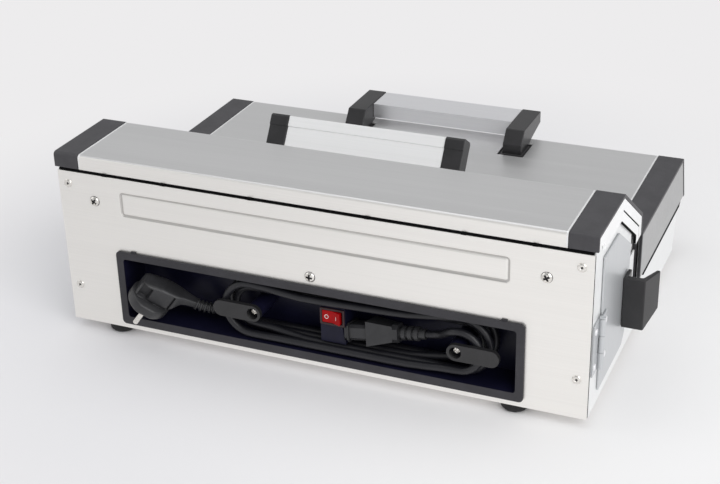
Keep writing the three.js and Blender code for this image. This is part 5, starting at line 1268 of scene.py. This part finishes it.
@dataclass
class CordBay:
    """Black moulding in the rear wall, its hooks, the switch and the inlet."""

    shop: Workshop
    frame_depth: float = 2.6
    wing_depth: float = -0.4
    box_depth: float = 6.0
    bezel_thickness: float = 1.5
    rocker_x: float = -17.0
    rocker_height: float = 48.0
    rocker_rise: float = 3.4
    rocker_waist: float = 0.55
    rocker_reach: float = 8.6
    rocker_tilt: float = 0.16
    mark_lift: float = 0.08
    mark_reach: float = 4.6
    off_radii: Pair = (1.35, 1.8)
    off_stretch: float = 1.15
    off_steps: int = 28
    on_half_width: float = 0.22
    on_half_height: float = 1.7

    def build(self) -> None:
        """Dresses the bay and marks the rocker."""
        f = self.shop.finish
        bay = self.shop.dress("cord_bay", Body.HOUSING, f.frame, edge=0.6, segments=3)
        # Faces deeper than the frame's face get the darker tub black: painted shade in the bay's hollow and
        # on the box in it
        give_deep_faces(bay, self.frame_depth, f.tub_painted_shade)
        for side in Side:
            hook = self.shop.dress(f"cord_hook_{side.word}", Body.HOUSING, f.grip, edge=0.7, segments=3)
            # The hook's faces behind its wing get the darker tub black: painted shade behind the wing
            give_deep_faces(hook, self.wing_depth, f.tub_painted_shade)
            self.shop.dress(f"hook_screw_{side.word}", Body.HOUSING, f.nickel, edge=0.3, segments=3)
        self.shop.dress("switch_body", Body.HOUSING, f.bezel, edge=0.4)
        self.shop.dress("inlet_collar", Body.HOUSING, f.grip, edge=0.4)
        self.shop.dress("rocker", Body.ROCKER, f.red, segments=3)
        self._marks()

    @property
    def rocker_pivot(self) -> np.ndarray:
        """Middle of the rocker, in body millimetres."""
        depth = self.box_depth - SEAT_GAP - self.bezel_thickness + self.rocker_rise * self.rocker_waist
        return np.array((self.rocker_x, depth, self.rocker_height))

    def _on_face(self, x: np.ndarray, z: np.ndarray, lift: np.ndarray) -> np.ndarray:
        """Points on the rocker's face, whose height grows with the distance from its middle.

        Args:
            x: distance along the face.
            z: distance up the face.
            lift: distance off the face.

        Returns:
            Array of points in metres.
        """
        slope = (1 - self.rocker_waist) * np.abs(x) / self.rocker_reach
        y = self.rocker_rise * (self.rocker_waist + slope) + lift
        turn = np.array(Matrix.Rotation(-self.rocker_tilt, 3, "Z"))
        return placed(self.rocker_pivot) + np.stack((x, y, z), -1) @ turn.T * MM

    def _marks(self) -> None:
        """Prints the ring for off and the stroke for on: thin raised bands with a square section."""
        inner, outer = self.off_radii
        lift = np.array((0, self.mark_lift, self.mark_lift, 0))
        radius = np.array((outer, outer, inner, inner))
        a = np.linspace(0, 2 * math.pi, self.off_steps, endpoint=False)[:, None]
        ring = self._on_face(self.mark_reach + radius * np.cos(a), radius * np.sin(a) * self.off_stretch,
                             lift + 0 * a)
        self.shop.own(skin("rocker_mark_off", ring, self.shop.finish.mark, closed=True), Body.ROCKER)
        width, height = self.on_half_width, self.on_half_height
        x, z = np.broadcast_arrays(-self.mark_reach + width * np.array((-1, -1, 1, 1)),
                                   height * np.array(((-1,), (1,))))
        bar = self._on_face(x, z, lift + 0 * x)
        self.shop.own(skin("rocker_mark_on", bar, self.shop.finish.mark), Body.ROCKER)


def ease(t: np.ndarray) -> np.ndarray:
    """Goes from 0 to 1 as 3t² − 2t³, level at both ends."""
    return t * t * (3 - 2 * t)


def bezier(a: np.ndarray, b: np.ndarray, c: np.ndarray, d: np.ndarray, steps: int) -> np.ndarray:
    """Cubic Bezier curve: the four points weighted by (1−t)³, 3t(1−t)², 3t²(1−t) and t³."""
    t = np.linspace(0, 1, steps + 1)[:, None]
    return a * (1 - t) ** 3 + 3 * b * t * (1 - t) ** 2 + 3 * c * t * t * (1 - t) + d * t ** 3


@dataclass
class Plug:
    """Angled mains plug: a moulded back, a disc as its face, a ribbed strain relief and two pins.

    Its own frame starts at the middle of the face, with x towards the lead and z out of the face.
    Each of the back's sections holds x, the half width, and z at the face's side and at the back.
    """

    shop: Workshop
    place: tuple[float, float, float] = (161.3, -0.5, 30.2)
    turn: tuple[float, float, float] = (0.4277, 0.605, 0.243)
    sections: tuple[tuple[float, float, float, float], ...] = (
        (-15.8, 6.5, -9.5, -21.0), (-15.4, 8.6, -9.0, -23.4), (-14.0, 9.8, -8.6, -25.2),
        (-8.0, 10.2, -8.4, -26.8), (3.4, 10.4, -8.4, -29.6), (10.0, 10.2, -8.4, -29.8),
        (16.0, 9.4, -9.4, -30.0), (19.0, 8.6, -12.0, -30.1), (21.5, 7.3, -17.0, -30.2),
        (24.0, 6.2, -21.0, -30.3), (28.0, 5.2, -22.6, -30.4), (33.0, 4.2, -23.3, -30.6),
        (35.7, 3.7, -23.5, -30.6), (36.2, 3.0, -24.2, -30.0))
    section_rings: int = 110
    section_sides: int = 160
    section_power: float = 0.4
    seam_turn: float = 0.02
    grip_x: Pair = (-14.2, -4.2)
    grip_z: Pair = (-25.0, -10.5)
    grip_sink: float = 4.6
    slot_x: Pair = (14.6, 16.4)
    slot_z: Pair = (-28.0, -10.5)
    foot_slot_x: Pair = (-4.6, 16.4)
    foot_slot_z: Pair = (-12.4, -10.4)
    slot_sink: float = 2.4
    sink_slope: float = 0.6
    flank_share: float = 0.6
    disc_profile: Profile = (
        (0, 0), (17.4, 0), (18.7, -0.5), (19.2, -1.6), (19.2, -8.2), (18.7, -9.4), (17.4, -10), (0, -10))
    disc_point: float = 0.02
    disc_sides: int = 96
    disc_flat: float = 18.2
    disc_rim_share: float = 0.9
    neck: Pair = (40.0, -30.5)
    relief_start: Pair = (35.7, -27.0)
    relief_tilt: float = 0.21
    relief_length: float = 20.2
    relief_overlap: float = 1.5
    relief_ease: Pair = (9.0, 8.0)
    relief_steps: int = 100
    relief_sides: int = 40
    core_radius: float = 3.9
    core_taper: float = 0.5
    ribs: int = 7
    rib_height: float = 1.6
    rib_taper: float = 0.6
    rib_gain: float = 1.6
    rib_gap: float = 0.3
    ribbed_share: float = 0.97

    def build(self) -> list[bpy.types.Object]:
        """Makes the plug and dresses its pins.

        Returns:
            Every piece of the plug.
        """
        nickel = self.shop.finish.nickel
        moulded = [self._back(), self._disc(), self._relief()]
        pins = [self.shop.dress(f"plug_pin_{side.word}", Body.HOUSING, nickel, edge=0.8, segments=3)
                for side in Side]
        return moulded + pins

    @property
    def frame(self) -> Matrix:
        """Frame of the plug in the row frame."""
        yaw, pitch, roll = self.turn
        return (Matrix.Translation(row(*self.place)) @ Matrix.Rotation(math.pi + yaw, 4, "Z")
                @ Matrix.Rotation(pitch, 4, "Y") @ Matrix.Rotation(math.pi + roll, 4, "X"))

    @property
    def relief_frame(self) -> Matrix:
        """Frame of the strain relief: x along the lead."""
        neck = Vector((self.neck[0], 0, self.neck[1])) * MM
        return self.frame @ Matrix.Translation(neck) @ Matrix.Rotation(self.relief_tilt, 4, "Y")

    def _moulded(self, name: str, local: np.ndarray, *nodes: str) -> bpy.types.Object:
        """Skins a moulded piece of the plug.

        Args:
            name: object name.
            local: rings in millimetres of the plug's frame.
            nodes: CAD nodes that it replaces.

        Returns:
            The piece.
        """
        turn = np.array(self.frame.to_3x3())
        rings = np.array(self.frame.translation) + local @ turn.T * MM
        return self.shop.own(skin(name, rings, self.shop.finish.plug, angle=50), Body.HOUSING, *nodes)

    def _within(self, v: np.ndarray, span: Pair) -> np.ndarray:
        """1 inside a span and 0 outside, with an eased step at both ends."""
        return ease(np.clip(np.minimum(v - span[0], span[1] - v) / self.sink_slope, 0, 1))

    def _back(self) -> bpy.types.Object:
        """Moulds the plug's back: a soft box section carried along x, with a grip sunk in both sides.

        At each x the half width a, the middle m and the half height b are read from the sections.
        The ring's points are a·c·|c|^(p−1) and m + b·s·|s|^(p−1) for the cosine c and sine s of its
        angle, with a power p below 1, which squares the ring. The first angle is a little above 0,
        so that no point lies on an axis. The grip and the slots round the pad are sunk in the
        flanks by products of eased steps in x and z.

        Returns:
            The piece.
        """
        at, half, front, back = np.array(self.sections).T
        x = np.linspace(at[0], at[-1], self.section_rings)[:, None]
        a = np.linspace(0, 2 * math.pi, self.section_sides, endpoint=False) + self.seam_turn
        half, front, back = (np.interp(x, at, v) for v in (half, front, back))
        c, s = np.cos(a), np.sin(a)
        y = half * np.sign(c) * np.abs(c) ** self.section_power
        z = (front + back) / 2 + (front - back) / 2 * np.sign(s) * np.abs(s) ** self.section_power
        grip = self.grip_sink * self._within(x, self.grip_x) * self._within(z, self.grip_z)
        slots = np.maximum(self._within(x, self.slot_x) * self._within(z, self.slot_z),
                           self._within(x, self.foot_slot_x) * self._within(z, self.foot_slot_z))
        on_flank = np.abs(y) > half * self.flank_share
        y = y - np.sign(y) * np.maximum(grip, self.slot_sink * slots) * on_flank
        return self._moulded("plug_back", np.stack((x + 0 * y, y, z), -1), "mains_plug")

    def _disc(self) -> bpy.types.Object:
        """Moulds the plug's face: a revolved disc whose y is held between two flats.

        Near the rim the flats follow the rim's own rounding.

        Returns:
            The piece.
        """
        radius, z = np.array(self.disc_profile).T
        radius = np.maximum(radius, self.disc_point)[:, None]
        a = np.linspace(0, 2 * math.pi, self.disc_sides, endpoint=False)
        rounding = (radius.max() - radius) * (radius > self.disc_flat * self.disc_rim_share)
        flat = np.minimum(radius, self.disc_flat - rounding)
        y = np.clip(radius * np.sin(a), -flat, flat)
        return self._moulded("plug_face", np.stack((radius * np.cos(a), y, z[:, None] + 0 * y), -1))

    def _relief(self) -> bpy.types.Object:
        """Moulds the ribbed strain relief: a tapering core with ribs, carried along a bend to the lead.

        Each ring's middle lies on a Bezier curve in the plug's own plane; its radius is that of the
        core, with a squared sine along the curve adding the ribs.

        Returns:
            The piece.
        """
        start = np.array((self.relief_start[0], 0, self.relief_start[1]))
        out = np.array((1.0, 0.0, 0.0))
        along = np.array((math.cos(self.relief_tilt), 0, -math.sin(self.relief_tilt)))
        end = np.array((self.neck[0], 0, self.neck[1])) + self.relief_length * along
        middle = bezier(start - self.relief_overlap * out, start + self.relief_ease[0] * out,
                        end - self.relief_ease[1] * along, end, self.relief_steps)
        ahead = np.gradient(middle, axis=0)
        ahead /= np.linalg.norm(ahead, axis=1, keepdims=True)
        side = np.stack((-ahead[:, 2], 0 * ahead[:, 1], ahead[:, 0]), 1)
        t = np.linspace(0, 1, len(middle))
        wave = np.sin(math.pi * self.ribs * t) ** 2 * self.rib_gain - self.rib_gap
        rib = ease(np.clip(wave, 0, 1)) * (t < self.ribbed_share)
        core = self.core_radius - self.core_taper * t
        radius = (core + (self.rib_height - self.rib_taper * t) * rib)[:, None, None]
        a = np.linspace(0, 2 * math.pi, self.relief_sides, endpoint=False)[:, None]
        rings = middle[:, None] + radius * (np.cos(a) * (0, 1, 0) + np.sin(a) * side[:, None])
        return self._moulded("plug_relief", rings)


@dataclass
class MainsLead:
    """Mains lead with its connector and plug, wound round the two hooks of the bay.

    The shares give each turn's radius as a share of the greatest one.
    """

    shop: Workshop
    cord_radius: float = 3.4
    cord_sides: int = 16
    hook_height: float = 42.15
    left_x: float = -131.0
    right_x: float = 59.0
    back_depth: float = 25.2
    turns: int = 3
    pitch: float = 7.4
    turn_radius: float = 24.4
    shares: tuple[float, ...] = (1.0, 0.72, 1.0, 0.86)
    last_radius: float = 15.5
    run_share: float = 0.78
    bulge_share: float = 0.3
    run_steps: int = 12
    bend_steps: int = 16
    join_share: float = 0.12
    lead_in_steps: int = 16
    lead_in_ease: float = 0.5
    lead_out_steps: int = 10
    box_right: float = -28.5
    collar: float = 1.6
    connector_depth: float = 15.0
    connector_height: float = 33.0
    connector_turn: Pair = (0.14, -0.24)
    connector_neck: float = 44.5
    connector_ribs: int = 3
    connector_rib: float = 3.4
    connector_rib_gap: float = 2.4
    connector_tip: float = 3.5

    def build(self) -> None:
        """Makes the lead and dresses what is on it."""
        f = self.shop.finish
        connector = self.shop.dress("lead_connector", Body.HOUSING, f.plug, edge=0.8, segments=3)
        plug = Plug(self.shop)
        pieces = plug.build()
        route = placed(self._route(plug))
        lead = swept("mains_lead", route, self.cord_radius * MM, self.cord_sides, f.cord)
        self.shop.own(lead, Body.HOUSING, "power_cord")

    @property
    def connector_frame(self) -> Matrix:
        """Frame of the connector: x from its mouth towards the lead.

        Returns:
            Matrix from it to the row frame.
        """
        tilt, roll = self.connector_turn
        x = self.box_right - self.collar - 2 * SEAT_GAP
        return (Matrix.Translation(row(x, self.connector_depth, self.connector_height))
                @ Matrix.Rotation(math.pi + tilt, 4, "Y") @ Matrix.Rotation(roll, 4, "X"))

    @property
    def connector_length(self) -> float:
        """Length of the connector up to the end of its strain relief."""
        ribs = self.connector_ribs * (self.connector_rib + self.connector_rib_gap)
        return self.connector_neck + self.connector_rib_gap + ribs + self.connector_tip

    def _on_axis(self, frame: Matrix, x: float) -> np.ndarray:
        """Point on a frame's own x axis, in body millimetres."""
        return (np.array(frame @ Vector((x * MM, 0, 0))) / MM - ORIGIN) * (1, -1, 1)

    def _bulged(self, radius: np.ndarray, t: np.ndarray, peak: float) -> np.ndarray:
        """Radius that swells to a peak between the ends of a run."""
        return radius + (peak - radius) * ease(np.minimum(1, np.minimum(t, 1 - t) / self.bulge_share))

    def _turn(self, number: int, run_start: float) -> list[np.ndarray]:
        """One turn round both hooks: low run, left bend, high run and right bend.

        On a bend the lead turns about the hook at the turn's own radius. On a run it swells, and on
        the high run it also comes forward by one pitch. The last turn ends after its left bend.

        Args:
            number: number of the turn, from 0.
            run_start: where its low run starts along x.

        Returns:
            Arrays of points in body millimetres.
        """
        depth = self.back_depth - number * self.pitch
        here = self.turn_radius * self.shares[number]
        before = self.turn_radius * self.shares[max(number - 1, 0)]
        last = number == self.turns
        t = np.linspace(0, 1, self.run_steps + 1)[1:-1]
        bend = np.linspace(0, 1, self.bend_steps + 1)
        low = self._bulged(before + (here - before) * ease(t), t, self.turn_radius)
        a = math.pi * bend - math.pi / 2
        r = here + (self.last_radius - here) * ease(bend) if last else here + 0 * bend
        parts = [
            np.stack((run_start + (self.left_x - run_start) * t, depth + 0 * t, self.hook_height - low), -1),
            np.stack((self.left_x - r * np.cos(a), depth + 0 * a, self.hook_height + r * np.sin(a)), -1)]
        if not last:
            high = self._bulged(here + 0 * t, t, self.turn_radius * self.run_share)
            a = math.pi * bend + math.pi / 2
            parts += [
                np.stack((self.left_x + (self.right_x - self.left_x) * t, depth - self.pitch * ease(t),
                          self.hook_height + high), -1),
                np.stack((self.right_x - here * np.cos(a), depth - self.pitch + 0 * a,
                          self.hook_height + here * np.sin(a)), -1)]
        return parts

    def _route(self, plug: Plug) -> np.ndarray:
        """Route from the plug, round both hooks and into the connector.

        Bezier curves lead from the plug's strain relief to the first low run, and from the last bend
        to the connector's strain relief; each leaves its relief straight for one cord diameter.

        Args:
            plug: the plug.

        Returns:
            Array of points in body millimetres.
        """
        step = self.cord_radius * 2
        across = np.array((1.0, 0.0, 0.0))
        start = self._on_axis(plug.relief_frame, plug.relief_length + SEAT_GAP)
        ahead = self._on_axis(plug.relief_frame, plug.relief_length + SEAT_GAP + step)
        join_x = self.right_x - (self.right_x - self.left_x) * self.join_share
        first = np.array((join_x, self.back_depth, self.hook_height - self.turn_radius))
        reach = np.linalg.norm(ahead - first) / 3
        leaving = (ahead - start) / step
        parts = [start[None], bezier(ahead, ahead + leaving * reach * self.lead_in_ease,
                                     first + across * reach, first, self.lead_in_steps)]
        for number in range(self.turns + 1):
            parts += self._turn(number, join_x if number == 0 else self.right_x)
        end = self._on_axis(self.connector_frame, self.connector_length + SEAT_GAP)
        before_end = self._on_axis(self.connector_frame, self.connector_length + SEAT_GAP + step)
        final = parts[-1][-1]
        reach = np.linalg.norm(final - before_end) / 3
        leaving = (before_end - end) / step
        parts.append(bezier(final, final + across * reach, before_end + leaving * reach, before_end,
                            self.lead_out_steps)[1:])
        return np.vstack((*parts, end[None]))


@dataclass
class SideDoor:
    """Small door in the left wall, its butt hinge and its grip."""

    shop: Workshop
    screw_heights: Pair = (44.6, 76.4)
    frame_screw: Pair = (-241.5, 10.0)
    door_screw: Pair = (-243.3, 33.0)
    screw_profile: Profile = (
        (0, -0.8), (1.6, -0.8), (3.1, -0.05), (3.1, 0.25), (2.7, 0.75), (1.7, 1.05), (0, 1.15))

    def build(self) -> None:
        """Dresses the door and adds the hinge screws."""
        f = self.shop.finish
        self.shop.dress("side_door", Body.DOOR, f.door, edge=0.35)
        self.shop.dress("hinge_leaf_frame", Body.HOUSING, f.door, edge=0.25)
        self.shop.dress("hinge_leaf_door", Body.DOOR, f.door, edge=0.25)
        self.shop.dress("hinge_pin", Body.HOUSING, f.door, edge=0.25)
        self.shop.dress("door_grip", Body.DOOR, f.grip, edge=1.0, segments=3)
        leaves = (("frame", self.frame_screw, Body.HOUSING), ("door", self.door_screw, Body.DOOR))
        for height in self.screw_heights:
            for word, (x, depth), body in leaves:
                screw = turned(f"hinge_screw_{word}_{int(height)}", self.screw_profile, (x, depth, height),
                               Vector((-1, 0, 0)), f.aluminium, sides=28)
                self.shop.own(screw, body)


@dataclass
class Interior:
    """Chamber, rack, lower heater, electronics and fan."""

    shop: Workshop

    def build(self) -> None:
        """Dresses what shows when the lid, the cover or the door is open."""
        f = self.shop.finish
        self.shop.dress("chamber_pan", Body.HOUSING, f.inner, edge=0.25)
        self.shop.dress("board_rack", Body.HOUSING, f.nickel, edge=0)
        self.shop.dress("lower_heater", Body.HOUSING, f.heater, edge=0)
        self.shop.dress("controller_board", Body.HOUSING, f.board, edge=0.25)
        self.shop.dress("fan_frame", Body.HOUSING, f.grip, edge=0.4)
        self.shop.dress("fan_rotor", Body.ROTOR, f.grip, edge=0.2)


# Studio


@dataclass(frozen=True)
class StudioFloor:
    """Plain matt paper, painted lighter towards the lamp side: a painted pool of light keeps it from looking
    flat.

    Near the oven it is lit paper that takes the shadow. Further out it goes over into the backdrop's
    own colour, so no horizon shows. In gloss it is the backdrop's colour throughout, which keeps the
    upright steel clear, and brighter towards the lamp side, a painted reflection in the steel. Reaches
    along x go from the dull side to the light one, in metres.
    """

    name: str = "studio_paper"
    light: int = 0xECEBEB
    dull: int = 0xE1E0E2
    backdrop: int = 0xEDECED
    painted_light_reach: Pair = (0.2, -0.32)
    lit_radii: Pair = (0.3, 0.62)
    gloss_share: float = 0.85
    painted_reflection_reach: Pair = (0.3, -0.12)
    painted_reflection_gains: Pair = (-0.1, 0.13)

    def material(self) -> bpy.types.Material:
        """Mixes the lit paper with the glow of the backdrop, by distance and by kind of ray.

        Returns:
            The material.
        """
        material, shader, place = start_material(self.name, {"Roughness": 0.75, "Specular IOR Level": 0.2})
        tree = material.node_tree
        across = add_node(tree, "ShaderNodeSeparateXYZ", {0: place}).outputs["X"]
        # Painted light: the paper is painted lighter towards the lamp side
        tone = add_node(tree, "ShaderNodeMapRange", {
            "Value": across, "From Min": self.painted_light_reach[0], "From Max": self.painted_light_reach[1]},
            interpolation_type="SMOOTHSTEP")
        colour = add_node(tree, "ShaderNodeMix", {
            "Factor": tone.outputs[0], "A": linear(self.dull), "B": linear(self.light)}, data_type="RGBA")
        feed(shader, {"Base Color": colour.outputs["Result"]})
        distance = add_node(tree, "ShaderNodeVectorMath", {0: place}, operation="LENGTH")
        far = add_node(tree, "ShaderNodeMapRange", {
            "Value": distance.outputs["Value"], "From Min": self.lit_radii[0], "From Max": self.lit_radii[1]},
            interpolation_type="SMOOTHSTEP")
        path = add_node(tree, "ShaderNodeLightPath").outputs
        direct = add_node(tree, "ShaderNodeMath", {
            0: far.outputs[0], 1: path["Is Camera Ray"]}, operation="MULTIPLY")
        gloss = add_node(tree, "ShaderNodeMath", {
            0: path["Is Glossy Ray"], 1: self.gloss_share}, operation="MULTIPLY")
        share = add_node(tree, "ShaderNodeMath", {
            0: direct.outputs[0], 1: gloss.outputs[0]}, operation="MAXIMUM")
        # Painted reflection: in gloss the glow grows towards the lamp side
        painted_reflection_gain = add_node(tree, "ShaderNodeMapRange", {
            "Value": across, "From Min": self.painted_reflection_reach[0], "From Max": self.painted_reflection_reach[1],
            "To Min": self.painted_reflection_gains[0], "To Max": self.painted_reflection_gains[1]}, interpolation_type="SMOOTHSTEP")
        gain = add_node(tree, "ShaderNodeMath", {
            0: path["Is Glossy Ray"], 1: painted_reflection_gain.outputs[0], 2: 1.0}, operation="MULTIPLY_ADD")
        glow = add_node(tree, "ShaderNodeEmission", {
            "Color": linear(self.backdrop), "Strength": gain.outputs[0]})
        mix = add_node(tree, "ShaderNodeMixShader", {
            0: share.outputs[0], 1: shader.outputs[0], 2: glow.outputs[0]})
        feed(tree.nodes["Material Output"], {"Surface": mix.outputs[0]})
        return material


@dataclass(frozen=True)
class Lamp:
    """Large soft disc lamp that looks at the middle of the oven."""

    name: str
    place: tuple[float, float, float]
    size: float
    power: float
    target: tuple[float, float, float] = (0, 0, 0.08)

    def build(self) -> None:
        """Adds the lamp."""
        data = bpy.data.lights.new(self.name, "AREA")
        data.shape = "DISK"
        data.size = self.size
        data.energy = self.power
        lamp = bpy.data.objects.new(self.name, data)
        bpy.context.scene.collection.objects.link(lamp)
        lamp.location = self.place
        view = Vector(self.target) - Vector(self.place)
        lamp.rotation_euler = view.to_track_quat("-Z", "Y").to_euler()


@dataclass
class Studio:
    """Camera, floor and light.

    The lens is in millimetres, angles are in degrees, and places are in metres of the row frame. The
    backdrop's glow in gloss dims between two heights, given as the sine of the angle above level.
    """

    lens: float = 72.785
    sensor: float = 36.0
    near_clip: float = 0.05
    position: tuple[float, float, float] = (-0.45507, 1.14117, 0.66109)
    azimuth: float = 23.564
    elevation: float = 26.515
    roll: float = 1.498
    floor_radius: float = 9.0
    floor_core: float = 0.02
    floor_rings: int = 6
    floor_sides: int = 96
    backdrop: int = 0xE9E9EA
    sky: int = 0xF2F4F6
    sky_strength: float = 0.6
    dim_heights: Pair = (0.05, 0.5)
    high_strength: float = 0.5
    lamps: tuple[Lamp, ...] = (
        Lamp("key", (-1.9, 1.4, 1.6), size=2.4, power=44),
        Lamp("fill", (1.9, 0.9, 1.3), size=1.8, power=6),
        Lamp("top", (0.1, -0.2, 2.4), size=2.8, power=16))

    def build(self) -> None:
        """Sets up the whole studio."""
        self._camera()
        self._floor()
        self._world()
        for lamp in self.lamps:
            lamp.build()

    def _camera(self) -> None:
        """Aims the camera: forward from azimuth and elevation, then rolled about that line."""
        a, e, r = (math.radians(v) for v in (self.azimuth, self.elevation, self.roll))
        forward = Vector((math.sin(a) * math.cos(e), -math.cos(a) * math.cos(e), -math.sin(e)))
        right = Vector((-math.cos(a), -math.sin(a), 0))
        down = forward.cross(right)
        tilted_right = math.cos(r) * right + math.sin(r) * down
        tilted_down = -math.sin(r) * right + math.cos(r) * down
        data = bpy.data.cameras.new("camera")
        data.lens = self.lens
        data.sensor_width = self.sensor
        data.clip_start = self.near_clip
        camera = bpy.data.objects.new("camera", data)
        bpy.context.scene.collection.objects.link(camera)
        turn = Matrix((tilted_right, -tilted_down, -forward)).transposed().to_4x4()
        camera.matrix_world = Matrix.Translation(self.position) @ turn
        bpy.context.scene.camera = camera

    def _floor(self) -> None:
        """Lays a disc of floor: rings of growing radius at height 0, the innermost one filled."""
        a = np.linspace(0, 2 * math.pi, self.floor_sides, endpoint=False)
        radius = self.floor_radius * np.linspace(self.floor_core, 1, self.floor_rings)[:, None]
        rings = np.stack((radius * np.cos(a), radius * np.sin(a), 0 * radius * a), -1)
        skin("studio_floor", rings, StudioFloor().material(), caps=(True, False))

    def _world(self) -> None:
        """Lights the room evenly and shows the backdrop to the camera, through glass and in gloss.

        In gloss the backdrop dims towards the ceiling, as the upper room does above a lit sweep.
        """
        world = bpy.data.worlds.new("studio")
        bpy.context.scene.world = world
        world.use_nodes = True
        tree = world.node_tree
        room = tree.nodes["Background"]
        room.inputs["Color"].default_value = linear(self.sky)
        room.inputs["Strength"].default_value = self.sky_strength
        path = add_node(tree, "ShaderNodeLightPath").outputs
        direction = add_node(tree, "ShaderNodeTexCoord").outputs["Generated"]
        height = add_node(tree, "ShaderNodeSeparateXYZ", {0: direction}).outputs["Z"]
        low, high = self.dim_heights
        dim = add_node(tree, "ShaderNodeMapRange", {
            "Value": height, "From Min": low, "From Max": high, "To Min": 1.0, "To Max": self.high_strength})
        gloss = add_node(tree, "ShaderNodeBackground", {
            "Color": linear(self.backdrop), "Strength": dim.outputs[0]})
        seen = add_node(tree, "ShaderNodeBackground", {
            "Color": linear(StudioFloor.backdrop), "Strength": 1.0})
        direct = add_node(tree, "ShaderNodeMath", {
            0: path["Is Camera Ray"], 1: path["Is Transmission Ray"]}, operation="MAXIMUM")
        lit = add_node(tree, "ShaderNodeMixShader", {
            0: path["Is Glossy Ray"], 1: room.outputs[0], 2: gloss.outputs[0]})
        mix = add_node(tree, "ShaderNodeMixShader", {
            0: direct.outputs[0], 1: lit.outputs[0], 2: seen.outputs[0]})
        feed(tree.nodes["World Output"], {"Surface": mix.outputs[0]})


def corners(bounds: tuple) -> list[list[float]]:
    """Turns a pair of corners into plain lists."""
    return [[float(v) for v in corner] for corner in bounds]


def main() -> None:
    """Builds the studio and the dressed oven, sub-assembly by sub-assembly."""
    logging.basicConfig(level=logging.INFO)
    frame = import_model()
    Studio().build()
    bpy.context.scene.view_settings.view_transform = "Standard"
    shop = Workshop(frame, Palette())
    for assembly in (MainsLead, Shell, RearWall, CordBay, Cover, Lid, Handles, SideDoor, Interior):
        assembly(shop).build()
        LOG.info("%s done", assembly.__name__)


if __name__ == "__main__":
    main()
